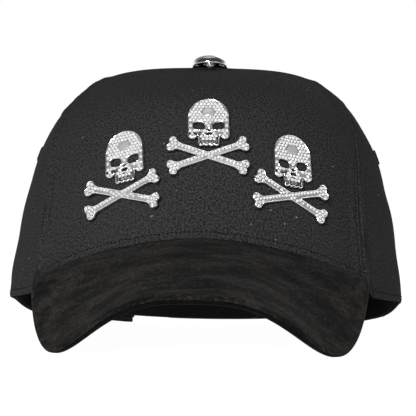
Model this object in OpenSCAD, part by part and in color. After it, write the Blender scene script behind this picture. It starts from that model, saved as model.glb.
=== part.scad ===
// Structured five-panel cap with a curved visor, rhinestone skull-and-crossbones charms,
// a metal top button and an open arch at the back that two snap straps close.
//
// Millimetres. The cap is drawn in its own frame: the rim plane is z = 0, the origin is the middle of
// the head opening, the visor points to -Y and the wearer's left is +X. The last step, rest(), tips the
// visor up so that the cap stands on its visor corners and the back of its rim, with the floor at z = 0
// and the origin on it, under the middle of the cap's box.

/* [Crown] */
// Half of the crown's width at the rim
half_w = 90.3; // [86:0.1:94]
// Distance from the middle of the head opening to the front or the back of the rim
half_len = 98; // [94:0.5:102]
// Height of the crown above the rim plane
crown_h = 110.5; // [104:0.5:115]
// How far the top point sits behind the middle of the head opening
apex_y = -5; // [-8:0.5:4]
// Squareness of the rim, where 2 is an ellipse
rim_power = 2.1; // [2:0.05:2.4]
// Squareness of the crown's profile at the sides
side_power = 3.1; // [2.5:0.05:3.5]
// Squareness of the crown's profile at the front
front_power = 3.35; // [2:0.05:4]
// Squareness of the crown's profile at the back
back_power = 2.4; // [2.2:0.05:2.8]
// Lean of the front towards the top, as a share of its length
front_lean = 0.125; // [0:0.005:0.2]
// Lean of the back towards the top, as a share of its length
back_lean = 0.05; // [0:0.01:0.15]
// Flare of the sides near the rim
side_flare = 0.075; // [0:0.005:0.1]
// How far the panels' tops draw up into a point under the button
peak = 0.1; // [0:0.01:0.12]
// The same, added at the front only
front_peak = 0.24; // [0:0.01:0.3]
// Rise of the rim above the visor's middle
rim_rise = 12; // [9:0.5:14]
// Angle that the cap is tipped back by when it stands on its visor
rest_tilt = 10.2; // [9:0.1:12]

/* [Panels] */
// Thickness of the panel cloth
cloth_t = 0.9; // [0.7:0.1:1.1]
// Gap between two panels in a seam
seam_gap = 0.15; // [0.1:0.05:0.3]
// Angle of the front seams at the rim, from the front
front_seam = 48.5; // [46:0.5:51]
// Angle of the front seams at the top, from the front
front_seam_top = 80; // [76:1:84]
// Angle of the seams behind the ears at the rim
side_seam = 113; // [110:1:116]
// Angle of the seams behind the ears at the top
side_seam_top = 130; // [126:1:134]
// Radius of the eyelets' outer edge
eyelet_r = 4.2; // [3.8:0.1:4.6]

/* [Visor] */
// Half of the visor's width between its corners
visor_half_w = 70.6; // [66:0.1:72]
// Distance from the middle of the head opening to the centre of the visor's edge curve
visor_centre = 66; // [62:1:70]
// Length of the visor's edge curve in front of that centre
visor_reach = 95.5; // [90:0.5:99]
// Droop of the visor's middle line, as rise over run
visor_slope = 0.52; // [0.46:0.01:0.56]
// Thickness of the visor's board
board_t = 1.9; // [1.6:0.1:2.2]
// Thickness of each visor cover
cover_t = 0.7; // [0.5:0.1:0.8]

/* [Back opening] */
// Half of the arch's angle at the rim
arch_angle = 27; // [25:0.5:28]
// Height of the arch
arch_h = 44; // [42:1:48]
// Height of a strap
strap_h = 20; // [18:0.5:21]
// Thickness of a strap
strap_t = 1.2; // [1:0.1:1.4]
// Distance between two pegs along the strap, as an angle
peg_pitch = 5.5; // [5:0.1:5.8]
// Radius of a peg
peg_r = 2.2; // [2:0.1:2.3]
// Radius of a hole
hole_r = 2.9; // [2.8:0.05:3]

/* [Charms] */
// Width of a skull
skull_w = 17.2; // [16:0.1:18]
// Length of a crossed bone between the centres of its ends
bone_len = 31.5; // [28:0.5:33]
// Width of a bone's shaft
bone_w = 3; // [2.6:0.1:3.4]
// Angle between a bone and the charm's long axis
bone_angle = 20; // [18:0.5:24]
// Thickness of a charm plate
plate_t = 1.1; // [0.8:0.1:1.4]
// Gap between a charm plate and the cloth
plate_gap = 0.3; // [0.2:0.1:0.6]

/* [Hidden] */
BADGES = ["left", "centre", "right"];

BLACK_TWILL = [0.19, 0.19, 0.19];
BLACK_SUEDE = [0.14, 0.14, 0.13];
TAPE_BLACK = [0.08, 0.08, 0.08];
BAND_BLACK = [0.1, 0.1, 0.11];
BOARD_BLACK = [0.05, 0.05, 0.06];
STRAP_BLACK = [0.12, 0.12, 0.13];
SILVER = [0.8, 0.8, 0.8];
STONE = [0.9, 0.89, 0.88];

stand_y = 32.43;                      // moves the middle of the cap's box over the origin
stand_z = 15.39;                      // lifts the lowest points to the floor
visor_start = 11.2;                   // height of the visor's middle line at y = -100
rows_top = 88;                        // rows of a panel end here, round a small hole in the top
strap_base = 3;                       // a strap's lower edge above the rim plane
strap_lean = 1.9;                     // how far a strap leans in over its height
arch_x = half_w * 0.475;              // half of the arch's width, for the straps' circle
back_ring_r = 94.1;                   // radius of the circle that the back of the rim follows
back_ring_y = half_len - back_ring_r; // its centre
hole_ring_r = back_ring_r - 2.9;      // outer face of the strap with holes, at its lower edge
peg_ring_r = hole_ring_r - strap_t - 0.4;
hinge_angle = 21.4;                   // where a strap bends, from the back
tab_end = 32.6;                       // where a strap's sewn end stops, from the back
tip_angle = 19.6;                     // where a strap's free end stops, on the other side
peg_count = 7;
EYELETS = [[82, 66], [-82, 66], [152, 72], [-152, 72]];

// ---- Vector helpers ----

function unit(v) = v / norm(v);
function smooth(t) = let (u = max(0, min(1, t))) u * u * (3 - 2 * u);
function mix(a, b, t) = a + (b - a) * t;
function steps(a, b, n) = [for (i = [0:n]) a + (b - a) * i / n];

// ---- The crown's surface ----
// th is the angle round the cap from the front, positive to the wearer's left.
// up runs from 0 at the rim to 90 at the top point.

function front_share(th) = pow(max(cos(th), 0), 2);
function back_share(th) = pow(max(-cos(th), 0), 2);
function profile_power(th) =
    side_power + (front_power - side_power) * front_share(th) + (back_power - side_power) * back_share(th);
function lean(th) = front_lean * front_share(th) + back_lean * back_share(th);
function rim_r(th) = pow(pow(abs(sin(th)), rim_power) + pow(abs(cos(th)), rim_power), -1 / rim_power);
function rim_x(th) = half_w * sin(th) * rim_r(th);
function rim_y(th) = -half_len * cos(th) * rim_r(th);
// The hem hangs lower just behind the visor, and a little lower again beside the back opening.
function rim_dip(a) =
    5.7 * smooth((a - front_seam) / 5) * (1 - smooth((a - 52) / 45))
    + 2 * smooth((a - 90) / 20) * (1 - smooth((a - 122) / 22));
function rim_z(th) = rim_rise * (1 - pow(min(1, abs(th) / front_seam), 1.6)) - rim_dip(abs(th));
function crown_at(th, up_share, spread, rise) =
    let (s = spread * (1 - lean(th) * up_share)
                    * (1 + side_flare * pow(sin(th), 2) * (pow(1 - up_share, 2) - 1)))
    [rim_x(th) * s, apex_y + (rim_y(th) - apex_y) * s, mix(rim_z(th), crown_h, rise)];
function peak_at(th, spread) =
    peak * spread * pow(1 - spread, 2) + front_peak * front_share(th) * spread * (1 - pow(spread, 4));
function crown(th, up) =
    let (n = profile_power(th), r = pow(pow(cos(up), n) + pow(sin(up), n), -1 / n),
         s = r * sin(up), spread = r * cos(up))
    crown_at(th, s, spread, s - peak_at(th, spread));
function spread_of(s, n) = pow(max(0, 1 - pow(s, n)), 1 / n);
function solve_rise(th, s, rise, n, left = 6) =
    left == 0 ? s : solve_rise(th, min(1, rise + peak_at(th, spread_of(s, n))), rise, n, left - 1);
function up_of_height(th, z) =
    let (n = profile_power(th), rise = (z - rim_z(th)) / (crown_h - rim_z(th)),
         s = solve_rise(th, rise, rise, n))
    atan2(s, spread_of(s, n));
function crown_normal(th, up) =
    unit(cross(crown(th + 0.4, up) - crown(th - 0.4, up), crown(th, up + 0.4) - crown(th, max(0, up - 0.4))));
function crown_layer(th, up, out) = crown(th, up) + out * crown_normal(th, up);

function climb(up) =
    let (n = side_power, r = pow(pow(cos(up), n) + pow(sin(up), n), -1 / n))
    smooth(asin(min(1, pow(r * sin(up), n / 2))) / 90);
function front_seam_at(up) = mix(front_seam, front_seam_top, climb(up));
function side_seam_at(up) = mix(side_seam, side_seam_top, climb(up));

// ---- Closed shells between two grids of points ----
// A grid is a list of rows. Seen from outside, the points of a row run to the right and rows run up.

module shell(outer, inner) {
    rows = len(outer);
    cols = len(outer[0]);
    all_points = [for (g = [outer, inner]) for (row = g) for (p = row) p];
    function o(r, c) = r * cols + c;
    function i(r, c) = (rows + r) * cols + c;
    function quad(a, b, c, d) = [[a, b, c], [a, c, d]];
    skin = [for (r = [0:rows - 2]) for (c = [0:cols - 2])
        each quad(o(r, c), o(r + 1, c), o(r + 1, c + 1), o(r, c + 1))];
    lining = [for (r = [0:rows - 2]) for (c = [0:cols - 2])
        each quad(i(r, c), i(r, c + 1), i(r + 1, c + 1), i(r + 1, c))];
    ends = [for (c = [0:cols - 2]) each concat(
        quad(o(0, c), o(0, c + 1), i(0, c + 1), i(0, c)),
        quad(o(rows - 1, c + 1), o(rows - 1, c), i(rows - 1, c), i(rows - 1, c + 1)))];
    sides = [for (r = [0:rows - 2]) each concat(
        quad(o(r + 1, 0), o(r, 0), i(r, 0), i(r + 1, 0)),
        quad(o(r, cols - 1), o(r + 1, cols - 1), i(r + 1, cols - 1), i(r, cols - 1)))];
    polyhedron(all_points, concat(skin, lining, ends, sides), convexity = 6);
}

// A tube of closed sections, capped at both ends. Seen along the way from the first section to the
// last, a section's points run clockwise.
module sweep(sections) {
    count = len(sections);
    n = len(sections[0]);
    all_points = [for (s = sections) for (p = s) p];
    walls = [for (r = [0:count - 2]) for (c = [0:n - 1])
        let (a = r * n + c, b = r * n + (c + 1) % n)
        each [[a, b, b + n], [a, b + n, a + n]]];
    caps = [for (c = [1:n - 2]) each [
        [0, c + 1, c],
        [(count - 1) * n, (count - 1) * n + c, (count - 1) * n + c + 1]]];
    polyhedron(all_points, concat(walls, caps), convexity = 6);
}

// Tips the cap back and sets it on the floor, with the middle of its box over the origin.
module rest() {
    translate([0, stand_y, stand_z]) rotate([-rest_tilt, 0, 0]) children();
}

// Puts a child drawn in XY on the crown's surface at an angle and a height, facing outwards.
module on_crown(th, z, roll = 0, out = 0) {
    up = up_of_height(th, z);
    n = crown_normal(th, up);
    translate(crown(th, up) + n * out)
        rotate([0, 0, atan2(n[0], -n[1])])
            rotate([90 - asin(n[2]), 0, 0])
                rotate([0, 0, roll])
                    children();
}

// ---- Panels ----

module panel(edge_a, edge_b, cols, ups, out = 0, t = cloth_t) {
    function grid(d) = [for (u = ups) [for (k = [0:cols])
        crown_layer(mix(edge_a(u), edge_b(u), k / cols), u, d)]];
    shell(grid(out), grid(out - t));
}

// Half a seam gap as an angle, wider near the top where the panels are narrow.
function gap_angle(up) = seam_gap * 0.5 / max(0.06, cos(up)) / half_w * 57.3;

PANEL_ROWS = [0, 6, 12, 19, 26, 33, 39, 45, 51, 57, 64, 72, 80, rows_top];

module front_panel() {
    a = function (u) -front_seam_at(u) + gap_angle(u);
    b = function (u) front_seam_at(u) - gap_angle(u);
    color(BLACK_TWILL) difference() {
        panel(a, b, 22, PANEL_ROWS);
        charm_post_holes();
    }
}

module side_panel(side) {
    lo = function (u) front_seam_at(u) + gap_angle(u);
    hi = function (u) side_seam_at(u) - gap_angle(u);
    a = side > 0 ? lo : function (u) -hi(u);
    b = side > 0 ? hi : function (u) -lo(u);
    color(BLACK_TWILL) difference() {
        panel(a, b, 12, PANEL_ROWS);
        eyelet_hole(side > 0 ? EYELETS[0] : EYELETS[1]);
    }
}

// The arch's edge, from its foot at t = 0 to its top at t = 1.
function arch_th(t) = 180 - arch_angle * cos(90 * t);
function arch_z(t) = arch_h * sin(90 * t);
function arch_up(t) = up_of_height(arch_th(t), arch_z(t));

// A back panel's lower edge: along the rim, then up the arch. f runs from the side seam to the back seam.
function back_low(f, low_share = 0.3) =
    f < low_share
        ? [mix(side_seam_at(0) + gap_angle(0), arch_th(0), f / low_share), 0]
        : let (t = (f - low_share) / (1 - low_share)) [arch_th(t), arch_up(t)];
function back_point(f, g) =
    let (low = back_low(f),
         top = [mix(side_seam_at(rows_top) + gap_angle(rows_top), 180 - gap_angle(rows_top), f), rows_top],
         u = mix(low[1], top[1], g),
         straight = mix(low[0], top[0], g),
         seam = side_seam_at(u) + gap_angle(u))
    [f == 0 ? seam : min(mix(straight, mix(seam, 180, f), 0.5 * (1 - f) * g), 180 - gap_angle(u)), u];

module back_panel(side) {
    cols = 14;
    rows = 12;
    function point(f, g, d) = let (q = back_point(f, g)) crown_layer(side * q[0], q[1], d);
    function grid(d) = [for (r = [0:rows]) [for (c = [0:cols])
        point(side > 0 ? c / cols : 1 - c / cols, r / rows, d)]];
    color(BLACK_TWILL) difference() {
        shell(grid(0), grid(-cloth_t));
        eyelet_hole(side > 0 ? EYELETS[2] : EYELETS[3]);
    }
}

module eyelet_hole(at) {
    on_crown(at[0], at[1]) cylinder(r = eyelet_r + 0.1, h = 8, center = true, $fn = 12);
}

// Stitched eyelets: a low round bead with an open middle.
module eyelet_rings() {
    for (at = EYELETS) color(BLACK_TWILL)
        on_crown(at[0], at[1], 0, -0.55)
            rotate_extrude($fn = 24)
                polygon([[1.6, -0.6], [3.6, -0.6], [3.6, 0.9], [3, 1.25], [2.2, 1.25], [1.6, 0.9]]);
}

// ---- Lining parts ----

module front_stiffener() {
    edge = function (u) front_seam_at(u) - 5 - 6 * pow(u / 66, 2);
    a = function (u) -edge(u);
    b = function (u) edge(u);
    color(TAPE_BLACK) difference() {
        panel(a, b, 16, [2, 12, 22, 32, 41, 49, 57, 66], -cloth_t - 0.35, 0.6);
        charm_post_holes();
    }
}

tape_w = 12;
tape_out = -1.9;
tape_t = 0.4;

// A flat tape that follows a seam up the inside of the crown.
module seam_tape(path, ups) {
    function along(u) = unit(crown(path(u + 0.5), u + 0.5) - crown(path(u - 0.5), max(0, u - 0.5)));
    function line(u, d) =
        let (n = crown_normal(path(u), u), across = cross(along(u), n), p = crown(path(u), u))
        [for (k = [-1, 0, 1]) p + across * k * tape_w / 2 + n * d];
    color(TAPE_BLACK)
        shell([for (u = ups) line(u, tape_out)], [for (u = ups) line(u, tape_out - tape_t)]);
}

TAPE_ROWS = [1, 10, 20, 30, 39, 47, 55, 63, 70, 76, 80];

module back_seam_tape() {
    seam_tape(function (u) 180, [for (u = TAPE_ROWS) if (u > 25) u]);
}

band_end = 144;   // the sweatband stops short of the straps' sewn ends
band_h = 32;

module sweatband() {
    function out(th) = -2.5 - 1.6 * smooth((42 - abs(th)) / 8);   // clear of the clasps at the front
    function grid(d) = [for (r = [0:3]) [for (c = [0:40])
        let (th = mix(-band_end, band_end, c / 40), z = rim_z(th) + 0.4 + band_h * r / 3)
        crown_layer(th, up_of_height(th, z), out(th) + d)]];
    color(BAND_BLACK) shell(grid(0), grid(-1.4));
}

// A blank woven label on the sweatband.
module inside_label() {
    function grid(d) = [for (z = [8, 16, 24]) [for (th = [122:3:140])
        crown_layer(th, up_of_height(th, z), d)]];
    color([0.75, 0.75, 0.75]) shell(grid(-4.25), grid(-4.55));
}

// ---- Visor ----
// s runs across the visor from -1 to 1, and r runs from the crown at 0 to the free edge at 1.

function visor_droop(x, y) =
    let (m = smooth((-75 - y) / 80), bend = mix(25, 79, m), power = mix(2.3, 2.5, m))
    visor_start + visor_slope * (y + 100) - bend * pow(abs(x) / 70, power);
function visor_edge(s) =
    let (a = 88 * s) [visor_half_w * sin(a), -visor_centre - visor_reach * cos(a)];
function visor_root(s) =
    let (th = s * (front_seam - 0.5), p = [rim_x(th), rim_y(th)]) p * (1 - 0.9 / norm(p));
function visor_at(s, r) =
    let (a = visor_root(s), b = visor_edge(s), p = mix(a, b, r),
         lift = rim_z(s * (front_seam - 0.5)) - 0.15 - visor_droop(a[0], a[1]))
    [p[0], p[1], visor_droop(p[0], p[1]) + lift * pow(1 - r, 2)];
function visor_normal(s, r) =
    let (s0 = max(-1, s - 0.01), s1 = min(1, s + 0.01), r0 = max(0, r - 0.02), r1 = min(1, r + 0.02))
    unit(cross(visor_at(s, r0) - visor_at(s, r1), visor_at(s1, r) - visor_at(s0, r))) * -1;

module visor_layer(top, t, inset, cols = 22, rows = 6) {
    function s_at(c) = let (k = 2 * c / cols - 1) k * (1 - inset / 75);
    function r_at(r, s) = mix(0, 1 - inset / max(9, norm(visor_edge(s) - visor_root(s))), r / rows);
    function grid(d) = [for (r = [rows:-1:0]) [for (c = [0:cols])
        visor_at(s_at(c), r_at(r, s_at(c))) + d * visor_normal(s_at(c), r_at(r, s_at(c)))]];
    shell(grid(top), grid(top - t));
}

module visor_top_cover() {
    color(BLACK_SUEDE) visor_layer(0, cover_t, 0.85);
}

module visor_board() {
    color(BOARD_BLACK) visor_layer(-cover_t - 0.2, board_t, 2.2);
}

module visor_under_cover() {
    color(BLACK_SUEDE) visor_layer(-cover_t - board_t - 0.4, cover_t, 0.85);
}

// The rolled edge where the two covers meet, round the free edge of the visor.
module visor_edge_piping() {
    edge_t = 2 * cover_t + board_t + 0.4;
    function section(s) =
        let (p = visor_at(s, 1), n = visor_normal(s, 1),
             along = unit(visor_at(min(1, s + 0.01), 1) - visor_at(max(-1, s - 0.01), 1)),
             outward = cross(along, n))
        [for (q = [[-0.35, -0.35], [0.5, -0.8], [0.75, -edge_t / 2], [0.5, 0.8 - edge_t],
                   [-0.35, 0.35 - edge_t]])
            p + outward * q[0] + n * q[1]];
    color(BLACK_SUEDE) sweep([for (k = [0:32]) section(-0.93 + 1.86 * k / 32)]);
}

// ---- Button ----

module at_apex(z) {
    translate([0, apex_y, crown_h + z]) children();
}

module top_button() {
    color(SILVER) at_apex(0.3) rotate_extrude($fn = 48) difference() {
        polygon([[0, 0], [8.2, 0], [8.5, 0.5], [8.5, 2], [7.6, 3.4], [5.6, 4.5], [3, 5], [0, 5.1]]);
        square([2.2, 2.6]);
    }
}

module button_rivet() {
    color(SILVER) at_apex(-4.6) cylinder(r = 1.9, h = 7.2, $fn = 24);
}

module button_washer() {
    color(SILVER) at_apex(-4.4) difference() {
        cylinder(r = 7, h = 0.8, $fn = 32);
        translate([0, 0, -1]) cylinder(r = 2, h = 3, $fn = 24);
    }
}

// ---- Back opening ----

// Folded tape round the arch's edge, from one foot to the other.
module arch_binding() {
    function path(k) = let (t = 1 - abs(k)) [(k < 0 ? 1 : -1) * arch_th(t), arch_up(t)];
    function place(k) = let (q = path(k)) crown(q[0], q[1]);
    function section(k) =
        let (q = path(k), n = crown_normal(q[0], q[1]),
             along = unit(place(min(0.98, k + 0.02)) - place(max(-0.98, k - 0.02))),
             away = cross(n, along))
        [for (v = [[6.5, 0.35], [6.5, 0.7], [-0.35, 0.75], [-0.85, 0], [-0.85, -0.9], [-0.35, -1.75],
                   [6.5, -1.65], [6.5, -1.3], [-0.3, -1.3], [-0.3, 0.35]])
            place(k) + away * v[0] + n * v[1]];
    color(TAPE_BLACK) sweep([for (k = [0:28]) section(-0.96 + 1.92 * k / 28)]);
}

// A leaning arc of a strap between two angles, measured from the back towards the wearer's left.
module strap_arc(ring_r, from, to, low = strap_base, high = strap_base + strap_h) {
    function r_at(z) = ring_r - strap_lean * (z - strap_base) / strap_h;
    translate([0, back_ring_y, 0])
        rotate([0, 0, 90 - to])
            rotate_extrude(angle = to - from, $fn = 180)
                polygon([[r_at(low), low], [r_at(high), high],
                         [r_at(high) - strap_t, high], [r_at(low) - strap_t, low]]);
}

// Turns a child drawn along +Z so that it points straight out of a strap at an angle.
module on_strap(ring_r, angle, z = strap_base + strap_h / 2) {
    r = ring_r - strap_lean * (z - strap_base) / strap_h;
    translate([0, back_ring_y, 0]) rotate([0, 0, -angle]) translate([0, r, z])
        rotate([-90 + atan(strap_lean / strap_h), 0, 0]) children();
}

// The strap with holes is sewn in at the wearer's left and lies outside.
module hole_strap() {
    color(STRAP_BLACK) difference() {
        strap_arc(hole_ring_r, -tip_angle, hinge_angle);
        for (k = [0:peg_count - 1])
            on_strap(hole_ring_r, (k - (peg_count - 1) / 2) * peg_pitch)
                translate([0, 0, -3]) cylinder(r = hole_r, h = 6, $fn = 32);
    }
}

module hole_strap_tab() {
    color(STRAP_BLACK) strap_arc(hole_ring_r, hinge_angle + 0.6, tab_end);
}

// The strap with pegs is sewn in at the wearer's right and lies inside.
module peg_strap() {
    color(STRAP_BLACK) union() {
        strap_arc(peg_ring_r, -hinge_angle, tip_angle);
        for (k = [0:peg_count - 1])
            on_strap(peg_ring_r, (k - (peg_count - 1) / 2) * peg_pitch)
                translate([0, 0, -0.6]) cylinder(r = peg_r, h = 0.6 + 0.4 + strap_t + 0.5, $fn = 32);
    }
}

module peg_strap_tab() {
    color(STRAP_BLACK) strap_arc(peg_ring_r, -tab_end, -hinge_angle - 0.6);
}

// ---- Charms ----

module skull_outline() {
    dome_r = skull_w / 2;
    difference() {
        union() {
            translate([0, 3.2]) circle(r = dome_r, $fn = 48);
            translate([-dome_r, -4.4]) square([skull_w, 7.6]);
            for (side = [-1, 1]) translate([side * (dome_r - 1.9), -4.8]) circle(r = 2.1, $fn = 24);
            translate([-4.4, -9]) square([8.8, 5.5]);
            for (k = [-1.5:1:1.5]) translate([k * 2.13, -9]) circle(r = 1.2, $fn = 20);
        }
        for (side = [-1, 1]) translate([side * 4.05, -1.2]) eye_hole(side);
        polygon([[0, -2.4], [1.25, -4.9], [0.8, -5.4], [0, -5], [-0.8, -5.4], [-1.25, -4.9]]);
    }
}

// An eye is a rounded shape, wider at its top and lower on its outer side.
module eye_hole(side) {
    translate([side * 1.1, 0.1]) circle(r = 1.45, $fn = 24);
    translate([-side * 1.2, 0.2]) circle(r = 1.3, $fn = 24);
    translate([side * 0.5, -0.35]) circle(r = 1.7, $fn = 24);
    translate([-1.3, -0.8]) square([2.6, 2.35]);
}

module bone_outline() {
    square([bone_len - 2, bone_w], center = true);
    for (end = [-1, 1]) for (lobe = [-1, 1])
        translate([end * bone_len / 2, lobe * 1.6]) circle(r = 1.8, $fn = 24);
    for (end = [-1, 1]) translate([end * (bone_len / 2 - 1.1), 0]) circle(r = 2.2, $fn = 24);
}

module bones_outline() {
    for (a = [-bone_angle, bone_angle]) rotate(a) bone_outline();
}

// Where each charm sits: angle, height of the skull, its roll, then the same for the bones.
function charm_place(name) =
    name == "left" ? [25.5, 46.2, -3.5, 24.3, 31.2, -8] :
    name == "right" ? [-21.6, 46.8, 9, -21.3, 30.8, 6.8] :
    [1.8, 61.2, 1.4, 1.8, 46.7, 1.2];

module on_skull(name, out = 0) {
    p = charm_place(name);
    on_crown(p[0], p[1], p[2], out) children();
}

module on_bones(name, out = 0) {
    p = charm_place(name);
    on_crown(p[3], p[4], p[5], out) children();
}

module skull_plate(name) {
    color(STONE) on_skull(name, plate_gap) linear_extrude(plate_t) skull_outline();
}

module bones_plate(name) {
    color(STONE) on_bones(name, plate_gap) linear_extrude(plate_t) bones_outline();
}

// A plain raised plate on the forehead.
module brow_plate(name) {
    color(SILVER) on_skull(name, plate_gap + plate_t) linear_extrude(0.5)
        translate([0, 5]) difference() {
            circle(r = 2.4, $fn = 32);
            translate([-3, -4.4]) square([6, 2.6]);
        }
}

POST_R = 0.8;

module post_places(name, out = 0) {
    for (x = [-6.6, 6.6]) on_skull(name, out) translate([x, 2.5, 0]) children();
    for (x = [-8.5, 8.5]) on_bones(name, out)
        rotate(bone_angle) translate([x, 0, 0]) children();
}

module charm_post_holes() {
    for (name = BADGES) post_places(name) translate([0, 0, -6]) cylinder(r = POST_R + 0.15, h = 8, $fn = 8);
}

module charm_posts() {
    color(SILVER) for (name = BADGES) post_places(name, plate_gap) translate([0, 0, -4.1])
        cylinder(r = POST_R, h = 4.08, $fn = 16);
}

module charm_clasps() {
    color(SILVER) for (name = BADGES) post_places(name, plate_gap) translate([0, 0, -3.9]) difference() {
        cylinder(r = 2, h = 0.5, $fn = 20);
        translate([0, 0, -1]) cylinder(r = POST_R + 0.05, h = 3, $fn = 16);
    }
}

// ---- The parts ----

rest() front_panel();
rest() side_panel(1);  // left_side_panel
rest() side_panel(-1);  // right_side_panel
rest() back_panel(1);  // left_back_panel
rest() back_panel(-1);  // right_back_panel
rest() front_stiffener();
rest() seam_tape(function (u) front_seam_at(u), TAPE_ROWS);  // left_front_seam_tape
rest() seam_tape(function (u) -front_seam_at(u), TAPE_ROWS);  // right_front_seam_tape
rest() seam_tape(function (u) side_seam_at(u), TAPE_ROWS);  // left_side_seam_tape
rest() seam_tape(function (u) -side_seam_at(u), TAPE_ROWS);  // right_side_seam_tape
rest() back_seam_tape();
rest() sweatband();
rest() inside_label();
rest() visor_top_cover();
rest() visor_board();
rest() visor_under_cover();
rest() visor_edge_piping();
rest() top_button();
rest() button_rivet();
rest() button_washer();
rest() eyelet_rings();
rest() arch_binding();
rest() hole_strap();
rest() hole_strap_tab();
rest() peg_strap();
rest() peg_strap_tab();
rest() skull_plate("left");  // left_skull_plate
rest() bones_plate("left");  // left_bones_plate
rest() brow_plate("left");  // left_brow_plate
rest() skull_plate("centre");  // centre_skull_plate
rest() bones_plate("centre");  // centre_bones_plate
rest() brow_plate("centre");  // centre_brow_plate
rest() skull_plate("right");  // right_skull_plate
rest() bones_plate("right");  // right_bones_plate
rest() brow_plate("right");  // right_brow_plate
rest() charm_posts();
rest() charm_clasps();
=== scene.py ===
"""Looks of a structured cap with jewelled skull-and-crossbones charms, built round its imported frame.

Sizes are in millimetres in the cap's own frame, where the rim plane is z = 0, the middle of the head
opening is the origin and the visor points to -Y. Stance turns them into metres in the row frame.
"""
import logging
import math
from dataclasses import dataclass, field
from enum import Enum
from typing import Any, Callable, Sequence

import bmesh
import bpy
import numpy as np
from mathutils import Matrix, Vector
from mathutils.geometry import tessellate_polygon


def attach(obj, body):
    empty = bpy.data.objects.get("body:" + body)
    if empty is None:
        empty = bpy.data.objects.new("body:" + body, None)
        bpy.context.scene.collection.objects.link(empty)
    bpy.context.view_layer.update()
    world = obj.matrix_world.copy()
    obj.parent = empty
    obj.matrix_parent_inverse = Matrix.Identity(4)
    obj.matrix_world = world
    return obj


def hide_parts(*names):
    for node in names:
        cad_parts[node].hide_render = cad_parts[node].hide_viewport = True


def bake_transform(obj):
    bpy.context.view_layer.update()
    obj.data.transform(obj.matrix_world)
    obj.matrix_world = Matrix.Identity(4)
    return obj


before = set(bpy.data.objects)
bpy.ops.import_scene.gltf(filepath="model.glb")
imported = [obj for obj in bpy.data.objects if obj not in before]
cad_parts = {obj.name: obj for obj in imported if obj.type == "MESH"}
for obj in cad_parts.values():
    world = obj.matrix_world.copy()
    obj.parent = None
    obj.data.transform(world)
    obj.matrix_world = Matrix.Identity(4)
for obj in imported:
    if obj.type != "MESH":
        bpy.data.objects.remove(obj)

LOG = logging.getLogger("cap")
CAP = "cap"
OUTER_STRAP = "outer_strap"
INNER_STRAP = "inner_strap"
MM = 0.001

Grid = np.ndarray
Material = bpy.types.Material
Object = bpy.types.Object


# ---------------------------------------------------------------------------------------------
# The cap's form
# ---------------------------------------------------------------------------------------------


def smooth(t: np.ndarray | float) -> np.ndarray:
    """Ease from 0 to 1."""
    u = np.clip(t, 0.0, 1.0)
    return u * u * (3.0 - 2.0 * u)


def mix(a: Any, b: Any, t: Any) -> Any:
    """Straight blend from a to b."""
    return a + (b - a) * t


def unit(v: np.ndarray) -> np.ndarray:
    """Vectors of length one."""
    return v / np.maximum(np.linalg.norm(v, axis=-1, keepdims=True), 1e-9)


@dataclass(frozen=True)
class Stance:
    """How the cap stands: tipped back, with the middle of its box over the origin."""

    tilt: float = math.radians(10.2)
    shift_y: float = 32.43
    shift_z: float = 15.39

    def vectors(self, v: np.ndarray) -> np.ndarray:
        """Turn directions from the cap's frame to the row frame.

        Args:
            v: Vectors, with their three parts along the last axis.

        Returns:
            The turned vectors.
        """
        c, s = math.cos(self.tilt), math.sin(self.tilt)
        return np.stack([v[..., 0], v[..., 1] * c + v[..., 2] * s, v[..., 2] * c - v[..., 1] * s], -1)

    def points(self, p: np.ndarray) -> np.ndarray:
        """Turn places from the cap's frame in millimetres to the row frame in metres.

        Args:
            p: Points, with their three parts along the last axis.

        Returns:
            The points in the row frame.
        """
        return (self.vectors(p) + np.array([0.0, self.shift_y, self.shift_z])) * MM


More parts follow.
